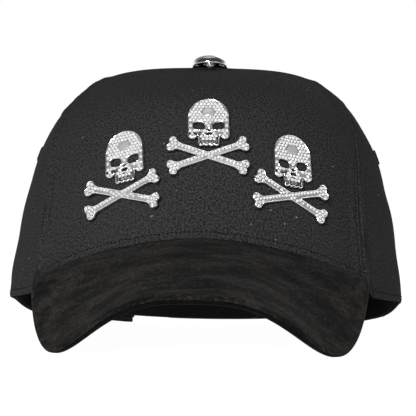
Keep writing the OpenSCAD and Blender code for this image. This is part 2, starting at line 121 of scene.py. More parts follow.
@dataclass(frozen=True)
class CrownForm:
    """The crown's outer surface, by an angle round the cap and a climb from the rim to the top."""

    half_w: float = 90.3
    half_len: float = 98.0
    height: float = 110.5
    apex_y: float = -5.0
    rim_power: float = 2.1
    side_power: float = 3.1
    front_power: float = 3.35
    back_power: float = 2.4
    front_lean: float = 0.125
    back_lean: float = 0.05
    flare: float = 0.075
    peak: float = 0.1
    front_peak: float = 0.24
    rim_rise: float = 12.0
    front_seam: float = 48.5
    front_seam_top: float = 80.0
    side_seam: float = 113.0
    side_seam_top: float = 130.0
    arch_angle: float = 27.0
    arch_h: float = 44.0
    top: float = 88.0

    def shares(self, th: np.ndarray) -> tuple[np.ndarray, np.ndarray]:
        """How much an angle faces the front and the back."""
        c = np.cos(np.radians(th))
        return np.clip(c, 0, 1) ** 2, np.clip(-c, 0, 1) ** 2

    def power(self, th: np.ndarray) -> np.ndarray:
        """Squareness of the profile at an angle."""
        front, back = self.shares(th)
        side = self.side_power
        return side + (self.front_power - side) * front + (self.back_power - side) * back

    def rim(self, th: np.ndarray) -> tuple[np.ndarray, np.ndarray, np.ndarray]:
        """The rim's x, y and z at an angle."""
        s, c = np.sin(np.radians(th)), np.cos(np.radians(th))
        r = (np.abs(s) ** self.rim_power + np.abs(c) ** self.rim_power) ** (-1 / self.rim_power)
        a = np.abs(th)
        dip = 5.7 * smooth((a - self.front_seam) / 5) * (1 - smooth((a - 52) / 45))
        dip = dip + 2 * smooth((a - 90) / 20) * (1 - smooth((a - 122) / 22))
        z = self.rim_rise * (1 - np.minimum(1, a / self.front_seam) ** 1.6) - dip
        return self.half_w * s * r, -self.half_len * c * r, z

    def peak_at(self, th: np.ndarray, spread: np.ndarray) -> np.ndarray:
        """How far the surface sags below a plain dome beside the top point."""
        front, _ = self.shares(th)
        return self.peak * spread * (1 - spread) ** 2 + self.front_peak * front * spread * (1 - spread**4)

    def point(self, th: Any, up: Any) -> np.ndarray:
        """Points of the surface.

        Args:
            th: Angles round the cap in degrees, from the front towards the wearer's left.
            up: Climbs in degrees, 0 at the rim and 90 at the top point.

        Returns:
            Points in the cap's frame.
        """
        th, up = np.broadcast_arrays(np.asarray(th, float), np.asarray(up, float))
        n = self.power(th)
        c, s = np.cos(np.radians(up)), np.sin(np.radians(np.maximum(up, 0)))
        r = (np.abs(c) ** n + s**n) ** (-1 / n)
        share, spread = r * s, r * np.abs(c)
        front, back = self.shares(th)
        lean = self.front_lean * front + self.back_lean * back
        flare = self.flare * np.sin(np.radians(th)) ** 2 * ((1 - share) ** 2 - 1)
        x, y, z = self.rim(th)
        k = spread * (1 - lean * share) * (1 + flare)
        rise = share - self.peak_at(th, spread)
        return np.stack([x * k, self.apex_y + (y - self.apex_y) * k, mix(z, self.height, rise)], -1)

    def normal(self, th: Any, up: Any) -> np.ndarray:
        """Outward normals of the surface at the same places as point()."""
        th, up = np.broadcast_arrays(np.asarray(th, float), np.asarray(up, float))
        across = self.point(th + 0.4, up) - self.point(th - 0.4, up)
        climb = self.point(th, up + 0.4) - self.point(th, np.maximum(up - 0.4, 0))
        return unit(np.cross(across, climb))

    def layer(self, th: Any, up: Any, out: Any) -> np.ndarray:
        """Points at a distance outside the surface, or inside it where out is negative."""
        return self.point(th, up) + self.normal(th, up) * np.asarray(out, float)[..., None]

    def up_of_height(self, th: Any, z: Any) -> np.ndarray:
        """The climb at which the surface reaches a height, by halving."""
        th, z = np.broadcast_arrays(np.asarray(th, float), np.asarray(z, float))
        low, high = np.zeros(th.shape), np.full(th.shape, 89.9)
        for _ in range(26):
            mid = (low + high) / 2
            under = self.point(th, mid)[..., 2] < z
            low, high = np.where(under, mid, low), np.where(under, high, mid)
        return (low + high) / 2

    def climb_share(self, up: Any) -> np.ndarray:
        """How far a seam has moved from its rim angle to its top angle at a climb."""
        n = self.side_power
        c, s = np.cos(np.radians(up)), np.sin(np.radians(up))
        r = (np.abs(c) ** n + np.abs(s) ** n) ** (-1 / n)
        return smooth(np.degrees(np.arcsin(np.minimum(1, (r * np.abs(s)) ** (n / 2)))) / 90)

    def front_seam_at(self, up: Any) -> np.ndarray:
        """Angle of the front seam at a climb."""
        return mix(self.front_seam, self.front_seam_top, self.climb_share(up))

    def side_seam_at(self, up: Any) -> np.ndarray:
        """Angle of the seam behind the ear at a climb."""
        return mix(self.side_seam, self.side_seam_top, self.climb_share(up))

    def arch(self, t: Any) -> tuple[np.ndarray, np.ndarray]:
        """Angle and climb of the arch's edge, from its foot at 0 to its top at 1."""
        t = np.asarray(t, float)
        th = 180 - self.arch_angle * np.cos(np.radians(90 * t))
        return th, self.up_of_height(th, self.arch_h * np.sin(np.radians(90 * t)))

    def placement(self, th: float, z: float, roll: float, stance: Stance) -> Matrix:
        """Where a flat piece lies on the crown.

        Args:
            th: Angle round the cap.
            z: Height above the rim plane.
            roll: Turn of the piece in its own plane.
            stance: How the cap stands.

        Returns:
            A matrix from the piece's millimetres, with z outwards, to the row frame in metres.
        """
        up = self.up_of_height(th, z)
        n = self.normal(th, up)
        turn = (
            Matrix.Rotation(math.atan2(n[0], -n[1]), 4, "Z")
            @ Matrix.Rotation(math.pi / 2 - math.asin(n[2]), 4, "X")
            @ Matrix.Rotation(math.radians(roll), 4, "Z")
        )
        tip = Matrix.Rotation(-stance.tilt, 4, "X")
        place = Matrix.Translation(Vector(stance.points(self.point(th, up))))
        return place @ tip @ turn @ Matrix.Scale(MM, 4)


@dataclass(frozen=True)
class VisorForm:
    """The visor's top surface, from the crown at r = 0 to its free edge at r = 1, for s from -1 to 1."""

    crown: CrownForm
    half_w: float = 70.6
    centre: float = 66.0
    reach: float = 95.5
    slope: float = 0.52
    start: float = 11.2

    def droop(self, x: np.ndarray, y: np.ndarray) -> np.ndarray:
        """Height of the curved sheet over a place."""
        m = smooth((-75 - y) / 80)
        bend, power = mix(25.0, 79.0, m), mix(2.3, 2.5, m)
        return self.start + self.slope * (y + 100) - bend * (np.abs(x) / 70) ** power

    def point(self, s: Any, r: Any) -> np.ndarray:
        """Points of the top surface."""
        s, r = np.broadcast_arrays(np.asarray(s, float), np.asarray(r, float))
        th = s * (self.crown.front_seam - 0.5)
        x0, y0, z0 = self.crown.rim(th)
        k = 1 - 0.9 / np.hypot(x0, y0)
        x0, y0 = x0 * k, y0 * k
        a = np.radians(88 * s)
        x = mix(x0, self.half_w * np.sin(a), r)
        y = mix(y0, -self.centre - self.reach * np.cos(a), r)
        lift = z0 - 0.15 - self.droop(x0, y0)
        return np.stack([x, y, self.droop(x, y) + lift * np.clip(1 - r, 0, 2) ** 2], -1)

    def normal(self, s: Any, r: Any) -> np.ndarray:
        """Normals of the top surface, pointing up."""
        s, r = np.broadcast_arrays(np.asarray(s, float), np.asarray(r, float))
        s0, s1 = np.maximum(-1, s - 0.01), np.minimum(1, s + 0.01)
        r0, r1 = np.maximum(0, r - 0.02), np.minimum(1, r + 0.02)
        out = self.point(s, r1) - self.point(s, r0)
        across = self.point(s1, r) - self.point(s0, r)
        return unit(np.cross(across, -out))


# ---------------------------------------------------------------------------------------------
# Meshes
# ---------------------------------------------------------------------------------------------


def make_object(name: str, mesh: bpy.types.Mesh) -> Object:
    """Link a mesh to the scene as an object at the origin."""
    piece = bpy.data.objects.new(name, mesh)
    bpy.context.scene.collection.objects.link(piece)
    return piece


def mesh_piece(
    name: str,
    points: np.ndarray,
    faces: Sequence[Sequence[int]],
    uv: np.ndarray | None = None,
    smooth_angle: float = 50.0,
) -> Object:
    """Build a mesh object from points in metres and faces.

    Args:
        name: Name of the piece.
        points: Vertices in the row frame.
        faces: Vertex numbers of each face, seen from outside.
        uv: Flat place of each vertex in metres, or None.
        smooth_angle: Edges sharper than this many degrees stay crisp.

    Returns:
        The new object.
    """
    mesh = bpy.data.meshes.new(name)
    mesh.from_pydata([tuple(p) for p in points.reshape(-1, 3)], [], [tuple(int(i) for i in f) for f in faces])
    if uv is not None:
        layer = mesh.uv_layers.new(name="UVMap")
        loops = np.empty(len(mesh.loops), np.int32)
        mesh.loops.foreach_get("vertex_index", loops)
        layer.data.foreach_set("uv", uv.reshape(-1, 2)[loops].astype(np.float32).ravel())
    mesh.shade_smooth()
    mesh.set_sharp_from_angle(angle=math.radians(smooth_angle))
    mesh.update()
    return make_object(name, mesh)


def grid_lengths(grid: Grid, centre_column: bool = True) -> np.ndarray:
    """Flat places of a grid's points, by their distances along its rows and columns.

    Args:
        grid: Points of shape (rows, columns, 3), in millimetres.
        centre_column: Measure each row from its middle and not from its start.

    Returns:
        Flat places in metres, of shape (rows, columns, 2).
    """
    along = np.linalg.norm(np.diff(grid, axis=1), axis=-1)
    u = np.concatenate([np.zeros((grid.shape[0], 1)), np.cumsum(along, 1)], 1)
    if centre_column:
        u -= u[:, grid.shape[1] // 2][:, None]
    climb = np.linalg.norm(np.diff(grid, axis=0), axis=-1)
    v = np.concatenate([np.zeros((1, grid.shape[1])), np.cumsum(climb, 0)], 0)
    return np.stack([u, v], -1) * MM


def shell_faces(rows: int, cols: int, closed: bool = False) -> list[tuple[int, ...]]:
    """Faces of a closed shell between two grids stacked outer first.

    Args:
        rows: Number of rows in each grid.
        cols: Number of points in a row.
        closed: Join the last column to the first.

    Returns:
        Faces, with the rows running up and the columns to the right as seen from outside.
    """
    o = np.arange(rows * cols).reshape(rows, cols)
    i = o + rows * cols
    faces: list[tuple[int, ...]] = []
    span = range(cols if closed else cols - 1)
    for c in span:
        d = (c + 1) % cols
        for r in range(rows - 1):
            faces.append((o[r, c], o[r, d], o[r + 1, d], o[r + 1, c]))
            faces.append((i[r, c], i[r + 1, c], i[r + 1, d], i[r, d]))
        faces.append((o[0, d], o[0, c], i[0, c], i[0, d]))
        faces.append((o[-1, c], o[-1, d], i[-1, d], i[-1, c]))
    if not closed:
        for r in range(rows - 1):
            faces.append((o[r, 0], o[r + 1, 0], i[r + 1, 0], i[r, 0]))
            faces.append((o[r + 1, -1], o[r, -1], i[r, -1], i[r + 1, -1]))
    return faces


def sweep_faces(stations: int, around: int, closed: bool = False) -> list[tuple[int, ...]]:
    """Faces of a tube whose sections run anticlockwise as seen from its far end."""
    k = np.arange(stations * around).reshape(stations, around)
    faces: list[tuple[int, ...]] = []
    for a in range(stations if closed else stations - 1):
        b = (a + 1) % stations
        for c in range(around):
            d = (c + 1) % around
            faces.append((k[a, c], k[a, d], k[b, d], k[b, c]))
    if not closed:
        faces.append(tuple(k[0, ::-1]))
        faces.append(tuple(k[-1]))
    return faces


def face_outwards(piece: Object) -> Object:
    """Make a closed piece's faces point outwards."""
    work = bmesh.new()
    work.from_mesh(piece.data)
    bmesh.ops.recalc_face_normals(work, faces=work.faces)
    work.to_mesh(piece.data)
    work.free()
    return piece


def join_meshes(name: str, parts: Sequence[Object]) -> Object:
    """Join several mesh objects into one new object and remove them."""
    work = bmesh.new()
    for part in parts:
        work.from_mesh(part.data)
    mesh = bpy.data.meshes.new(name)
    work.to_mesh(mesh)
    work.free()
    for part in parts:
        bpy.data.objects.remove(part)
    mesh.shade_smooth()
    mesh.set_sharp_from_angle(angle=math.radians(45))
    return make_object(name, mesh)


def soft_waves(p: np.ndarray, amount: float, size: float, seed: int) -> np.ndarray:
    """Gentle uneven swells of worn cloth.

    Args:
        p: Points in millimetres.
        amount: Typical height of a swell.
        size: Typical distance between swells.
        seed: Fixed seed of the pattern.

    Returns:
        A height for each point.
    """
    rng = np.random.default_rng(seed)
    total = np.zeros(p.shape[:-1])
    for _ in range(9):
        way = unit(rng.normal(size=3)) * (2 * math.pi / size) * rng.uniform(0.6, 1.7)
        total += np.sin(p @ way + rng.uniform(0, 2 * math.pi))
    return total * amount / 3


# ---------------------------------------------------------------------------------------------
# Shader maths
# ---------------------------------------------------------------------------------------------


class Sock:
    """A node socket that takes part in Python expressions."""

    def __init__(self, paint: "Paint", socket: bpy.types.NodeSocket) -> None:
        """Wrap an output socket of one of a paint's nodes."""
        self.paint = paint
        self.socket = socket

    def _math(self, operation: str, *values: Any) -> "Sock":
        """Add a Math node."""
        return self.paint.node("ShaderNodeMath", {"operation": operation}, dict(enumerate(values)))[0]

    def __add__(self, other: Any) -> "Sock":
        """Sum."""
        return self._math("ADD", self, other)

    __radd__ = __add__

    def __sub__(self, other: Any) -> "Sock":
        """Difference."""
        return self._math("SUBTRACT", self, other)

    def __rsub__(self, other: Any) -> "Sock":
        """Difference from a number."""
        return self._math("SUBTRACT", other, self)

    def __mul__(self, other: Any) -> "Sock":
        """Product."""
        return self._math("MULTIPLY", self, other)

    __rmul__ = __mul__

    def __truediv__(self, other: Any) -> "Sock":
        """Quotient."""
        return self._math("DIVIDE", self, other)

    def __pow__(self, other: float) -> "Sock":
        """Power."""
        return self._math("POWER", self, other)

    def sine(self) -> "Sock":
        """Sine of an angle in radians."""
        return self._math("SINE", self)

    def above(self, level: float, width: float) -> "Sock":
        """A soft step from 0 to 1 round a level."""
        return self.paint.node(
            "ShaderNodeMapRange",
            {"interpolation_type": "SMOOTHSTEP"},
            {"Value": self, "From Min": level - width, "From Max": level + width},
        )[0]


class Paint:
    """One material under construction."""

    def __init__(self, name: str) -> None:
        """Start a material with an empty Principled shader."""
        self.material = bpy.data.materials.new(name)
        self.material.use_nodes = True
        self.tree = self.material.node_tree
        self.tree.nodes.clear()
        self.shader = self.tree.nodes.new("ShaderNodeBsdfPrincipled")
        end = self.tree.nodes.new("ShaderNodeOutputMaterial")
        self.tree.links.new(self.shader.outputs[0], end.inputs[0])

    def node(self, kind: str, settings: dict[str, Any], values: dict[Any, Any]) -> list[Sock]:
        """Add one node.

        Args:
            kind: Type of the node.
            settings: Its properties, and "stops" for a colour ramp, set first.
            values: Values or links by the name or number of an input.

        Returns:
            The node's outputs.
        """
        made = self.tree.nodes.new(kind)
        for key, value in settings.items():
            if key == "stops":
                self._stops(made.color_ramp, value)
            else:
                setattr(made, key, value)
        for key, value in values.items():
            if isinstance(value, Sock):
                self.tree.links.new(value.socket, made.inputs[key])
            else:
                made.inputs[key].default_value = value
        return [Sock(self, s) for s in made.outputs if s.enabled]

    @staticmethod
    def _stops(ramp: bpy.types.ColorRamp, stops: Sequence[tuple[float, tuple[float, ...]]]) -> None:
        """Set a ramp's stops from pairs of a place and a colour."""
        while len(ramp.elements) > 1:
            ramp.elements.remove(ramp.elements[-1])
        ramp.elements[0].position, ramp.elements[0].color = stops[0]
        for place, colour in stops[1:]:
            ramp.elements.new(place).color = colour

    def set(self, **values: Any) -> None:
        """Set or link the shader's inputs, named with underscores for spaces."""
        for key, value in values.items():
            socket = self.shader.inputs[key.replace("_", " ")]
            if isinstance(value, Sock):
                self.tree.links.new(value.socket, socket)
            else:
                socket.default_value = value

    def flat(self) -> Sock:
        """The piece's own flat coordinates, in metres."""
        return self.node("ShaderNodeUVMap", {"uv_map": "UVMap"}, {})[0]

    def space(self) -> Sock:
        """Object coordinates."""
        return self.node("ShaderNodeTexCoord", {}, {})[3]

    def split(self, vector: Sock) -> list[Sock]:
        """The parts of a vector."""
        return self.node("ShaderNodeSeparateXYZ", {}, {0: vector})

    def scaled(self, vector: Sock, scale: tuple[float, float, float], turn: float = 0.0) -> Sock:
        """A vector turned about Z and scaled."""
        return self.node(
            "ShaderNodeMapping", {}, {"Vector": vector, "Scale": scale, "Rotation": (0.0, 0.0, turn)}
        )[0]

    def noise(self, vector: Sock, scale: float, detail: float = 3.0, rough: float = 0.55) -> Sock:
        """Cloudy noise from 0 to 1."""
        return self.node(
            "ShaderNodeTexNoise", {}, {"Vector": vector, "Scale": scale, "Detail": detail, "Roughness": rough}
        )[0]

    def blend(self, share: Any, a: Any, b: Any) -> Sock:
        """A blend of two colours."""
        return self.node(
            "ShaderNodeMix", {"data_type": "RGBA"}, {"Factor": share, 6: a, 7: b}
        )[0]

    def bump(self, height: Sock, distance: float, strength: float = 1.0) -> Sock:
        """A bumped normal from a height."""
        return self.node(
            "ShaderNodeBump", {}, {"Strength": strength, "Distance": distance, "Height": height}
        )[0]


def grey(value: float, warm: float = 0.0) -> tuple[float, float, float, float]:
    """A grey colour, a little warm or cool."""
    return (value * (1 + warm), value, value * (1 - warm), 1.0)


@dataclass(frozen=True)
class Twill:
    """Cotton twill: fine slanting ribs, soft fuzz and a little lint."""

    name: str
    tone: float = 0.0172
    rib_pitch: float = 0.00072
    rib_turn: float = math.radians(-58)
    lint: float = 1.0

    def paint(self) -> Material:
        """Make the material."""
        p = Paint(self.name)
        flat = p.flat()
        turned = p.scaled(flat, (1.0, 1.0, 1.0), self.rib_turn)
        u, v, _ = p.split(turned)
        wander = p.noise(flat, 900.0, 2.0) - 0.5
        rib = ((u * (2 * math.pi / self.rib_pitch)) + wander * 2.4).sine() * 0.5 + 0.5
        yarn = (v * (2 * math.pi / (self.rib_pitch * 1.4))).sine() * 0.5 + 0.5
        weave = rib * 0.72 + rib * yarn * 0.28
        cloud = p.noise(flat, 26.0, 4.0)
        fuzz = p.noise(flat, 1150.0, 4.0, 0.7)
        dark, light = grey(self.tone * 0.05, 0.01), grey(self.tone * 2.4, 0.012)
        base = p.blend(weave * 0.45 + fuzz.above(0.5, 0.13) * 0.65 - 0.05, dark, light)
        base = p.blend(cloud.above(0.56, 0.16) * 0.25, base, grey(self.tone * 1.4, 0.015))
        specks = p.noise(flat, 410.0, 1.0, 0.4).above(0.79, 0.012)
        base = p.blend(specks * (0.5 * self.lint), base, grey(0.32, 0.01))
        p.set(
            Base_Color=base,
            Roughness=0.86 + 0.1 * fuzz,
            Specular_IOR_Level=0.03,
            Normal=p.bump(weave * 0.8 + fuzz * 0.35, 0.00016, 0.9),
        )
        return p.material


@dataclass(frozen=True)
class Suede:
    """Brushed suede: mottled nap laid in streaks along the visor's curve."""

    name: str
    tone: float = 0.0152

    def paint(self) -> Material:
        """Make the material."""
        p = Paint(self.name)
        flat = p.flat()
        sweep = p.scaled(flat, (1.0, 3.2, 1.0), math.radians(14))
        drift = p.node("ShaderNodeTexNoise", {}, {"Vector": flat, "Scale": 30.0})[1]
        warped = p.node(
            "ShaderNodeVectorMath",
            {"operation": "MULTIPLY_ADD"},
            {0: drift, 1: (0.012,) * 3, 2: sweep},
        )[0]
        streak = p.noise(warped, 62.0, 5.0, 0.62)
        patch = p.noise(sweep, 24.0, 3.0, 0.5)
        nap = p.noise(p.scaled(flat, (0.6, 1.3, 1.0)), 850.0, 4.0, 0.75)
        brushed = (streak * 0.62 + patch * 0.38).above(0.53, 0.15)
        base = p.blend(brushed, grey(self.tone * 0.3, 0.02), grey(self.tone * 2.0, 0.1))
        base = p.blend(nap.above(0.5, 0.14) * 0.8 + 0.2, grey(self.tone * 0.12), base)
        base = p.blend(nap.above(0.66, 0.1) * 0.7, base, grey(self.tone * 4.5, 0.05))
        p.set(
            Base_Color=base,
            Roughness=0.9 - 0.12 * brushed,
            Sheen_Weight=0.015,
            Specular_IOR_Level=0.02,
            Normal=p.bump(nap * 0.7 + streak * 0.9, 0.00022, 0.8),
        )
        return p.material


@dataclass(frozen=True)
class Tape:
    """Woven tape or brushed lining cloth with fine straight ribs."""

    name: str
    # The default tone is very dark, about a seventh of the outer twill's: painted shade for the inside of the
    # cap.
    tone: float = 0.0025
    rib: float = 0.0011
    sheen: float = 0.02

    def paint(self) -> Material:
        """Make the material."""
        p = Paint(self.name)
        flat = p.flat()
        u, v, _ = p.split(flat)
        rib = (v * (2 * math.pi / self.rib)).sine() * 0.5 + 0.5
        yarn = (u * (2 * math.pi / (self.rib * 0.6))).sine() * 0.5 + 0.5
        fuzz = p.noise(flat, 1800.0, 3.0)
        weave = rib * yarn
        p.set(
            Base_Color=p.blend(weave * 0.5 + fuzz * 0.5, grey(self.tone * 0.6), grey(self.tone * 1.7)),
            Roughness=0.84 + 0.12 * fuzz,
            Sheen_Weight=self.sheen,
            Specular_IOR_Level=0.02,
            Normal=p.bump(weave * 0.7 + fuzz * 0.4, 0.00015, 0.8),
        )
        return p.material


@dataclass(frozen=True)
class Thread:
    """Spun polyester thread with a slight gloss."""

    name: str
    tone: float = 0.0022

    def paint(self) -> Material:
        """Make the material."""
        p = Paint(self.name)
        twist = p.noise(p.space(), 3200.0, 2.0)
        p.set(
            Base_Color=p.blend(twist, grey(self.tone * 0.55), grey(self.tone * 1.7)),
            Roughness=0.6 + 0.25 * twist,
            Specular_IOR_Level=0.1,
            Normal=p.bump(twist, 0.00008, 0.7),
        )
        return p.material


@dataclass(frozen=True)
class Plastic:
    """Moulded plastic with a fine grain and light scuffs."""

    name: str
    tone: float = 0.003
    roughness: float = 0.42

    def paint(self) -> Material:
        """Make the material."""
        p = Paint(self.name)
        space = p.space()
        grain = p.noise(space, 2400.0, 2.0)
        scuff = p.noise(p.scaled(space, (1.0, 1.0, 5.0)), 150.0, 4.0, 0.65).above(0.62, 0.08)
        p.set(
            Base_Color=p.blend(scuff * 0.4, grey(self.tone), grey(self.tone * 2.2)),
            Roughness=self.roughness + 0.14 * grain + 0.12 * scuff,
            Normal=p.bump(grain, 0.00004, 0.6),
            Specular_IOR_Level=0.12,
        )
        return p.material


@dataclass(frozen=True)
class Metal:
    """Plated metal with faint hairlines and a breath of tarnish."""

    name: str
    tone: float = 0.8
    roughness: float = 0.1
    warm: float = 0.006
    metallic: float = 1.0

    def paint(self) -> Material:
        """Make the material."""
        p = Paint(self.name)
        space = p.space()
        haze = p.noise(space, 260.0, 4.0, 0.6)
        hair = p.noise(p.scaled(space, (1.0, 14.0, 1.0)), 900.0, 2.0)
        clean, dull = grey(self.tone, self.warm), grey(self.tone * 0.8, self.warm)
        p.set(
            Base_Color=p.blend(haze.above(0.6, 0.2) * 0.5, clean, dull),
            Metallic=self.metallic,
            Roughness=self.roughness + 0.1 * haze + 0.05 * hair,
            Normal=p.bump(hair, 0.00001, 0.35),
        )
        return p.material


@dataclass(frozen=True)
class Crystal:
    """Foil-backed cut stones: bright facets, with a little painted fire, coloured glints mixed into the
    colour from stone to stone.
    """

    name: str
    tone: float = 0.86

    def paint(self) -> Material:
        """Make the material."""
        p = Paint(self.name)
        space = p.space()
        stone = p.noise(space, 640.0, 1.0, 0.3)
        painted_fire = p.node("ShaderNodeTexNoise", {}, {"Vector": space, "Scale": 420.0, "Detail": 1.0})[1]
        base = p.blend(stone.above(0.5, 0.22), grey(self.tone * 0.8), grey(self.tone, 0.004))
        # Painted fire: a faint random colour in the base colour, standing in for the coloured glints of light
        # split by the stones.
        base = p.blend(0.06, base, painted_fire)
        p.set(
            Base_Color=base,
            Metallic=0.3,
            Roughness=0.12,
            Coat_Weight=0.6,
            IOR=1.7,
            Specular_IOR_Level=0.8,
        )
        return p.material


# ---------------------------------------------------------------------------------------------
# Small shapes repeated with Geometry Nodes
# ---------------------------------------------------------------------------------------------


class Shape(Enum):
    """Small shapes that repeat over the cap."""

    STITCH = "stitch"
    STONE = "stone"


@dataclass(frozen=True)
class Repeat:
    """One small shape set at many places. Sizes are in millimetres, angles in radians."""

    shape: Shape
    length: float
    width: float
    height: float
    tilt: float = 0.05
    spin: float = 0.05
    seed: int = 7

    def _source(self, tree: bpy.types.NodeTree) -> bpy.types.Node:
        """Add the node that makes the small shape, one unit across."""
        if self.shape is Shape.STITCH:
            node = tree.nodes.new("GeometryNodeMeshUVSphere")
            node.inputs["Segments"].default_value = 8
            node.inputs["Rings"].default_value = 6
            node.inputs["Radius"].default_value = 0.5
            return node
        node = tree.nodes.new("GeometryNodeMeshCone")
        node.inputs["Vertices"].default_value = 8
        node.inputs["Radius Top"].default_value = 0.27
        node.inputs["Radius Bottom"].default_value = 0.5
        node.inputs["Depth"].default_value = 1.0
        return node

    def tree(self, name: str) -> bpy.types.NodeTree:
        """Build the node tree.

        Args:
            name: Name of the tree.

        Returns:
            A tree with named inputs for the sizes, the random turns and the material.
        """
        tree = bpy.data.node_groups.new(name, "GeometryNodeTree")
        sockets = [("Points", "Geometry"), ("Length", "Float"), ("Width", "Float"), ("Height", "Float")]
        sockets += [("Tilt", "Float"), ("Spin", "Float"), ("Seed", "Int"), ("Finish", "Material")]
        for label, kind in sockets:
            tree.interface.new_socket(label, in_out="INPUT", socket_type="NodeSocket" + kind)
        tree.interface.new_socket("Pieces", in_out="OUTPUT", socket_type="NodeSocketGeometry")
        new, link = tree.nodes.new, tree.links.new
        start, end = new("NodeGroupInput"), new("NodeGroupOutput")
        source = self._source(tree)
        size = new("ShaderNodeCombineXYZ")
        for part, label in enumerate(("Length", "Width", "Height")):
            link(start.outputs[label], size.inputs[part])
        scaled = new("GeometryNodeTransform")
        link(source.outputs["Mesh"], scaled.inputs["Geometry"])
        link(size.outputs[0], scaled.inputs["Scale"])
        rounded = new("GeometryNodeSetShadeSmooth")
        rounded.inputs["Shade Smooth"].default_value = self.shape is Shape.STITCH
        link(scaled.outputs[0], rounded.inputs["Geometry"])
        turn = new("GeometryNodeInputNamedAttribute")
        turn.data_type = "FLOAT_VECTOR"
        turn.inputs["Name"].default_value = "turn"
        euler = new("FunctionNodeEulerToRotation")
        link(turn.outputs[0], euler.inputs[0])
        limit = new("ShaderNodeCombineXYZ")
        for part, label in enumerate(("Tilt", "Tilt", "Spin")):
            link(start.outputs[label], limit.inputs[part])
        back = new("ShaderNodeVectorMath")
        back.operation = "SCALE"
        back.inputs["Scale"].default_value = -1.0
        link(limit.outputs[0], back.inputs[0])
        random = new("FunctionNodeRandomValue")
        random.data_type = "FLOAT_VECTOR"
        link(back.outputs[0], random.inputs[0])
        link(limit.outputs[0], random.inputs[1])
        link(start.outputs["Seed"], random.inputs["Seed"])
        loose = new("FunctionNodeEulerToRotation")
        link(random.outputs[0], loose.inputs[0])
        turned = new("FunctionNodeRotateRotation")
        turned.rotation_space = "LOCAL"
        link(euler.outputs[0], turned.inputs[0])
        link(loose.outputs[0], turned.inputs[1])
        placed = new("GeometryNodeInstanceOnPoints")
        link(start.outputs["Points"], placed.inputs["Points"])
        link(rounded.outputs[0], placed.inputs["Instance"])
        link(turned.outputs[0], placed.inputs["Rotation"])
        real = new("GeometryNodeRealizeInstances")
        link(placed.outputs[0], real.inputs[0])
        dressed = new("GeometryNodeSetMaterial")
        link(real.outputs[0], dressed.inputs["Geometry"])
        link(start.outputs["Finish"], dressed.inputs["Material"])
        link(dressed.outputs[0], end.inputs[0])
        return tree

    def build(
        self, name: str, places: np.ndarray, along: np.ndarray, up: np.ndarray, finish: Material
    ) -> Object:
        """Set the shape at each place and make the result one plain mesh.

        Args:
            name: Name of the piece.
            places: Points in the row frame, in metres.
            along: Direction of the shape's length at each place.
            up: Direction of the shape's height at each place.
            finish: Material of every copy.

        Returns:
            The new piece.
        """
        x = unit(along)
        z = unit(up - x * np.sum(up * x, -1, keepdims=True))
        y = np.cross(z, x)
        pitch = np.arcsin(np.clip(-x[:, 2], -1, 1))
        turns = np.stack([np.arctan2(y[:, 2], z[:, 2]), pitch, np.arctan2(x[:, 1], x[:, 0])], -1)
        mesh = bpy.data.meshes.new(name + ".places")
        mesh.from_pydata([tuple(p) for p in places], [], [])
        stored = mesh.attributes.new("turn", "FLOAT_VECTOR", "POINT")
        stored.data.foreach_set("vector", turns.astype(np.float32).ravel())
        carrier = make_object(name + ".places", mesh)
        modifier = carrier.modifiers.new("Repeat", "NODES")
        modifier.node_group = self.tree(name + ".tree")
        values = {
            "Length": self.length * MM,
            "Width": self.width * MM,
            "Height": self.height * MM,
            "Tilt": self.tilt,
            "Spin": self.spin,
            "Seed": self.seed,
            "Finish": finish,
        }
        for item in modifier.node_group.interface.items_tree:
            if item.in_out == "INPUT" and item.name in values:
                modifier[item.identifier] = values[item.name]
        graph = bpy.context.evaluated_depsgraph_get()
        result = bpy.data.meshes.new_from_object(carrier.evaluated_get(graph))
        carrier.modifiers.remove(modifier)
        bpy.data.objects.remove(carrier)
        if not result.materials:
            result.materials.append(finish)
        result.name = name
        return make_object(name, result)


def spaced(path: np.ndarray, normals: np.ndarray, pitch: float) -> tuple[np.ndarray, np.ndarray, np.ndarray]:
    """Evenly spaced places along a path.

    Args:
        path: Points of the path, in millimetres.
        normals: Outward direction at each point.
        pitch: Wanted distance between places.

    Returns:
        Places, directions along the path, and outward directions.
    """
    run = np.concatenate([[0], np.cumsum(np.linalg.norm(np.diff(path, axis=0), axis=-1))])
    count = max(2, int(round(run[-1] / pitch)))
    at = (np.arange(count) + 0.5) * run[-1] / count
    pick = lambda t, v: np.stack([np.interp(t, run, v[:, k]) for k in range(3)], -1)
    return pick(at, path), unit(pick(at + 0.2, path) - pick(at - 0.2, path)), unit(pick(at, normals))


@dataclass
class Sewing:
    """Rows of stitches gathered into one piece."""

    name: str
    stance: Stance
    finish: Material
    repeat: Repeat = Repeat(Shape.STITCH, 1.25, 0.5, 0.36)
    rows: list[tuple[np.ndarray, np.ndarray, np.ndarray]] = field(default_factory=list)

    def add(self, path: np.ndarray, normals: np.ndarray, pitch: float = 1.75) -> None:
        """Add one row of stitches along a path in the cap's frame."""
        self.rows.append(spaced(path, normals, pitch))

    def build(self, slot: str, body: str = CAP) -> Object:
        """Make the stitches and hang them on a body."""
        places, along, up = (np.concatenate([row[k] for row in self.rows]) for k in range(3))
        turn = self.stance.vectors
        piece = self.repeat.build(self.name, self.stance.points(places), turn(along), turn(up), self.finish)
        return hang(piece, None, body)


# ---------------------------------------------------------------------------------------------
# Finishing a piece
# ---------------------------------------------------------------------------------------------


def hang(
    piece: Object,
    finish: Material | None,
    body: str = CAP,
    stands_for: Sequence[str] = (),
) -> Object:
    """Give a piece its material and hang it on a body.

    Args:
        piece: The finished piece.
        finish: Its material, or None where it has one already.
        body: The body it moves with, or an empty name for a piece that is hung on no body.
        stands_for: CAD nodes that it replaces.

    Returns:
        The piece.
    """
    if finish is not None:
        piece.data.materials.clear()
        piece.data.materials.append(finish)
    if body:
        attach(piece, body)
    if stands_for:
        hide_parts(*stands_for)
    LOG.info("%s: %d faces, on %s", piece.name, len(piece.data.polygons), body or "two bodies")
    return piece


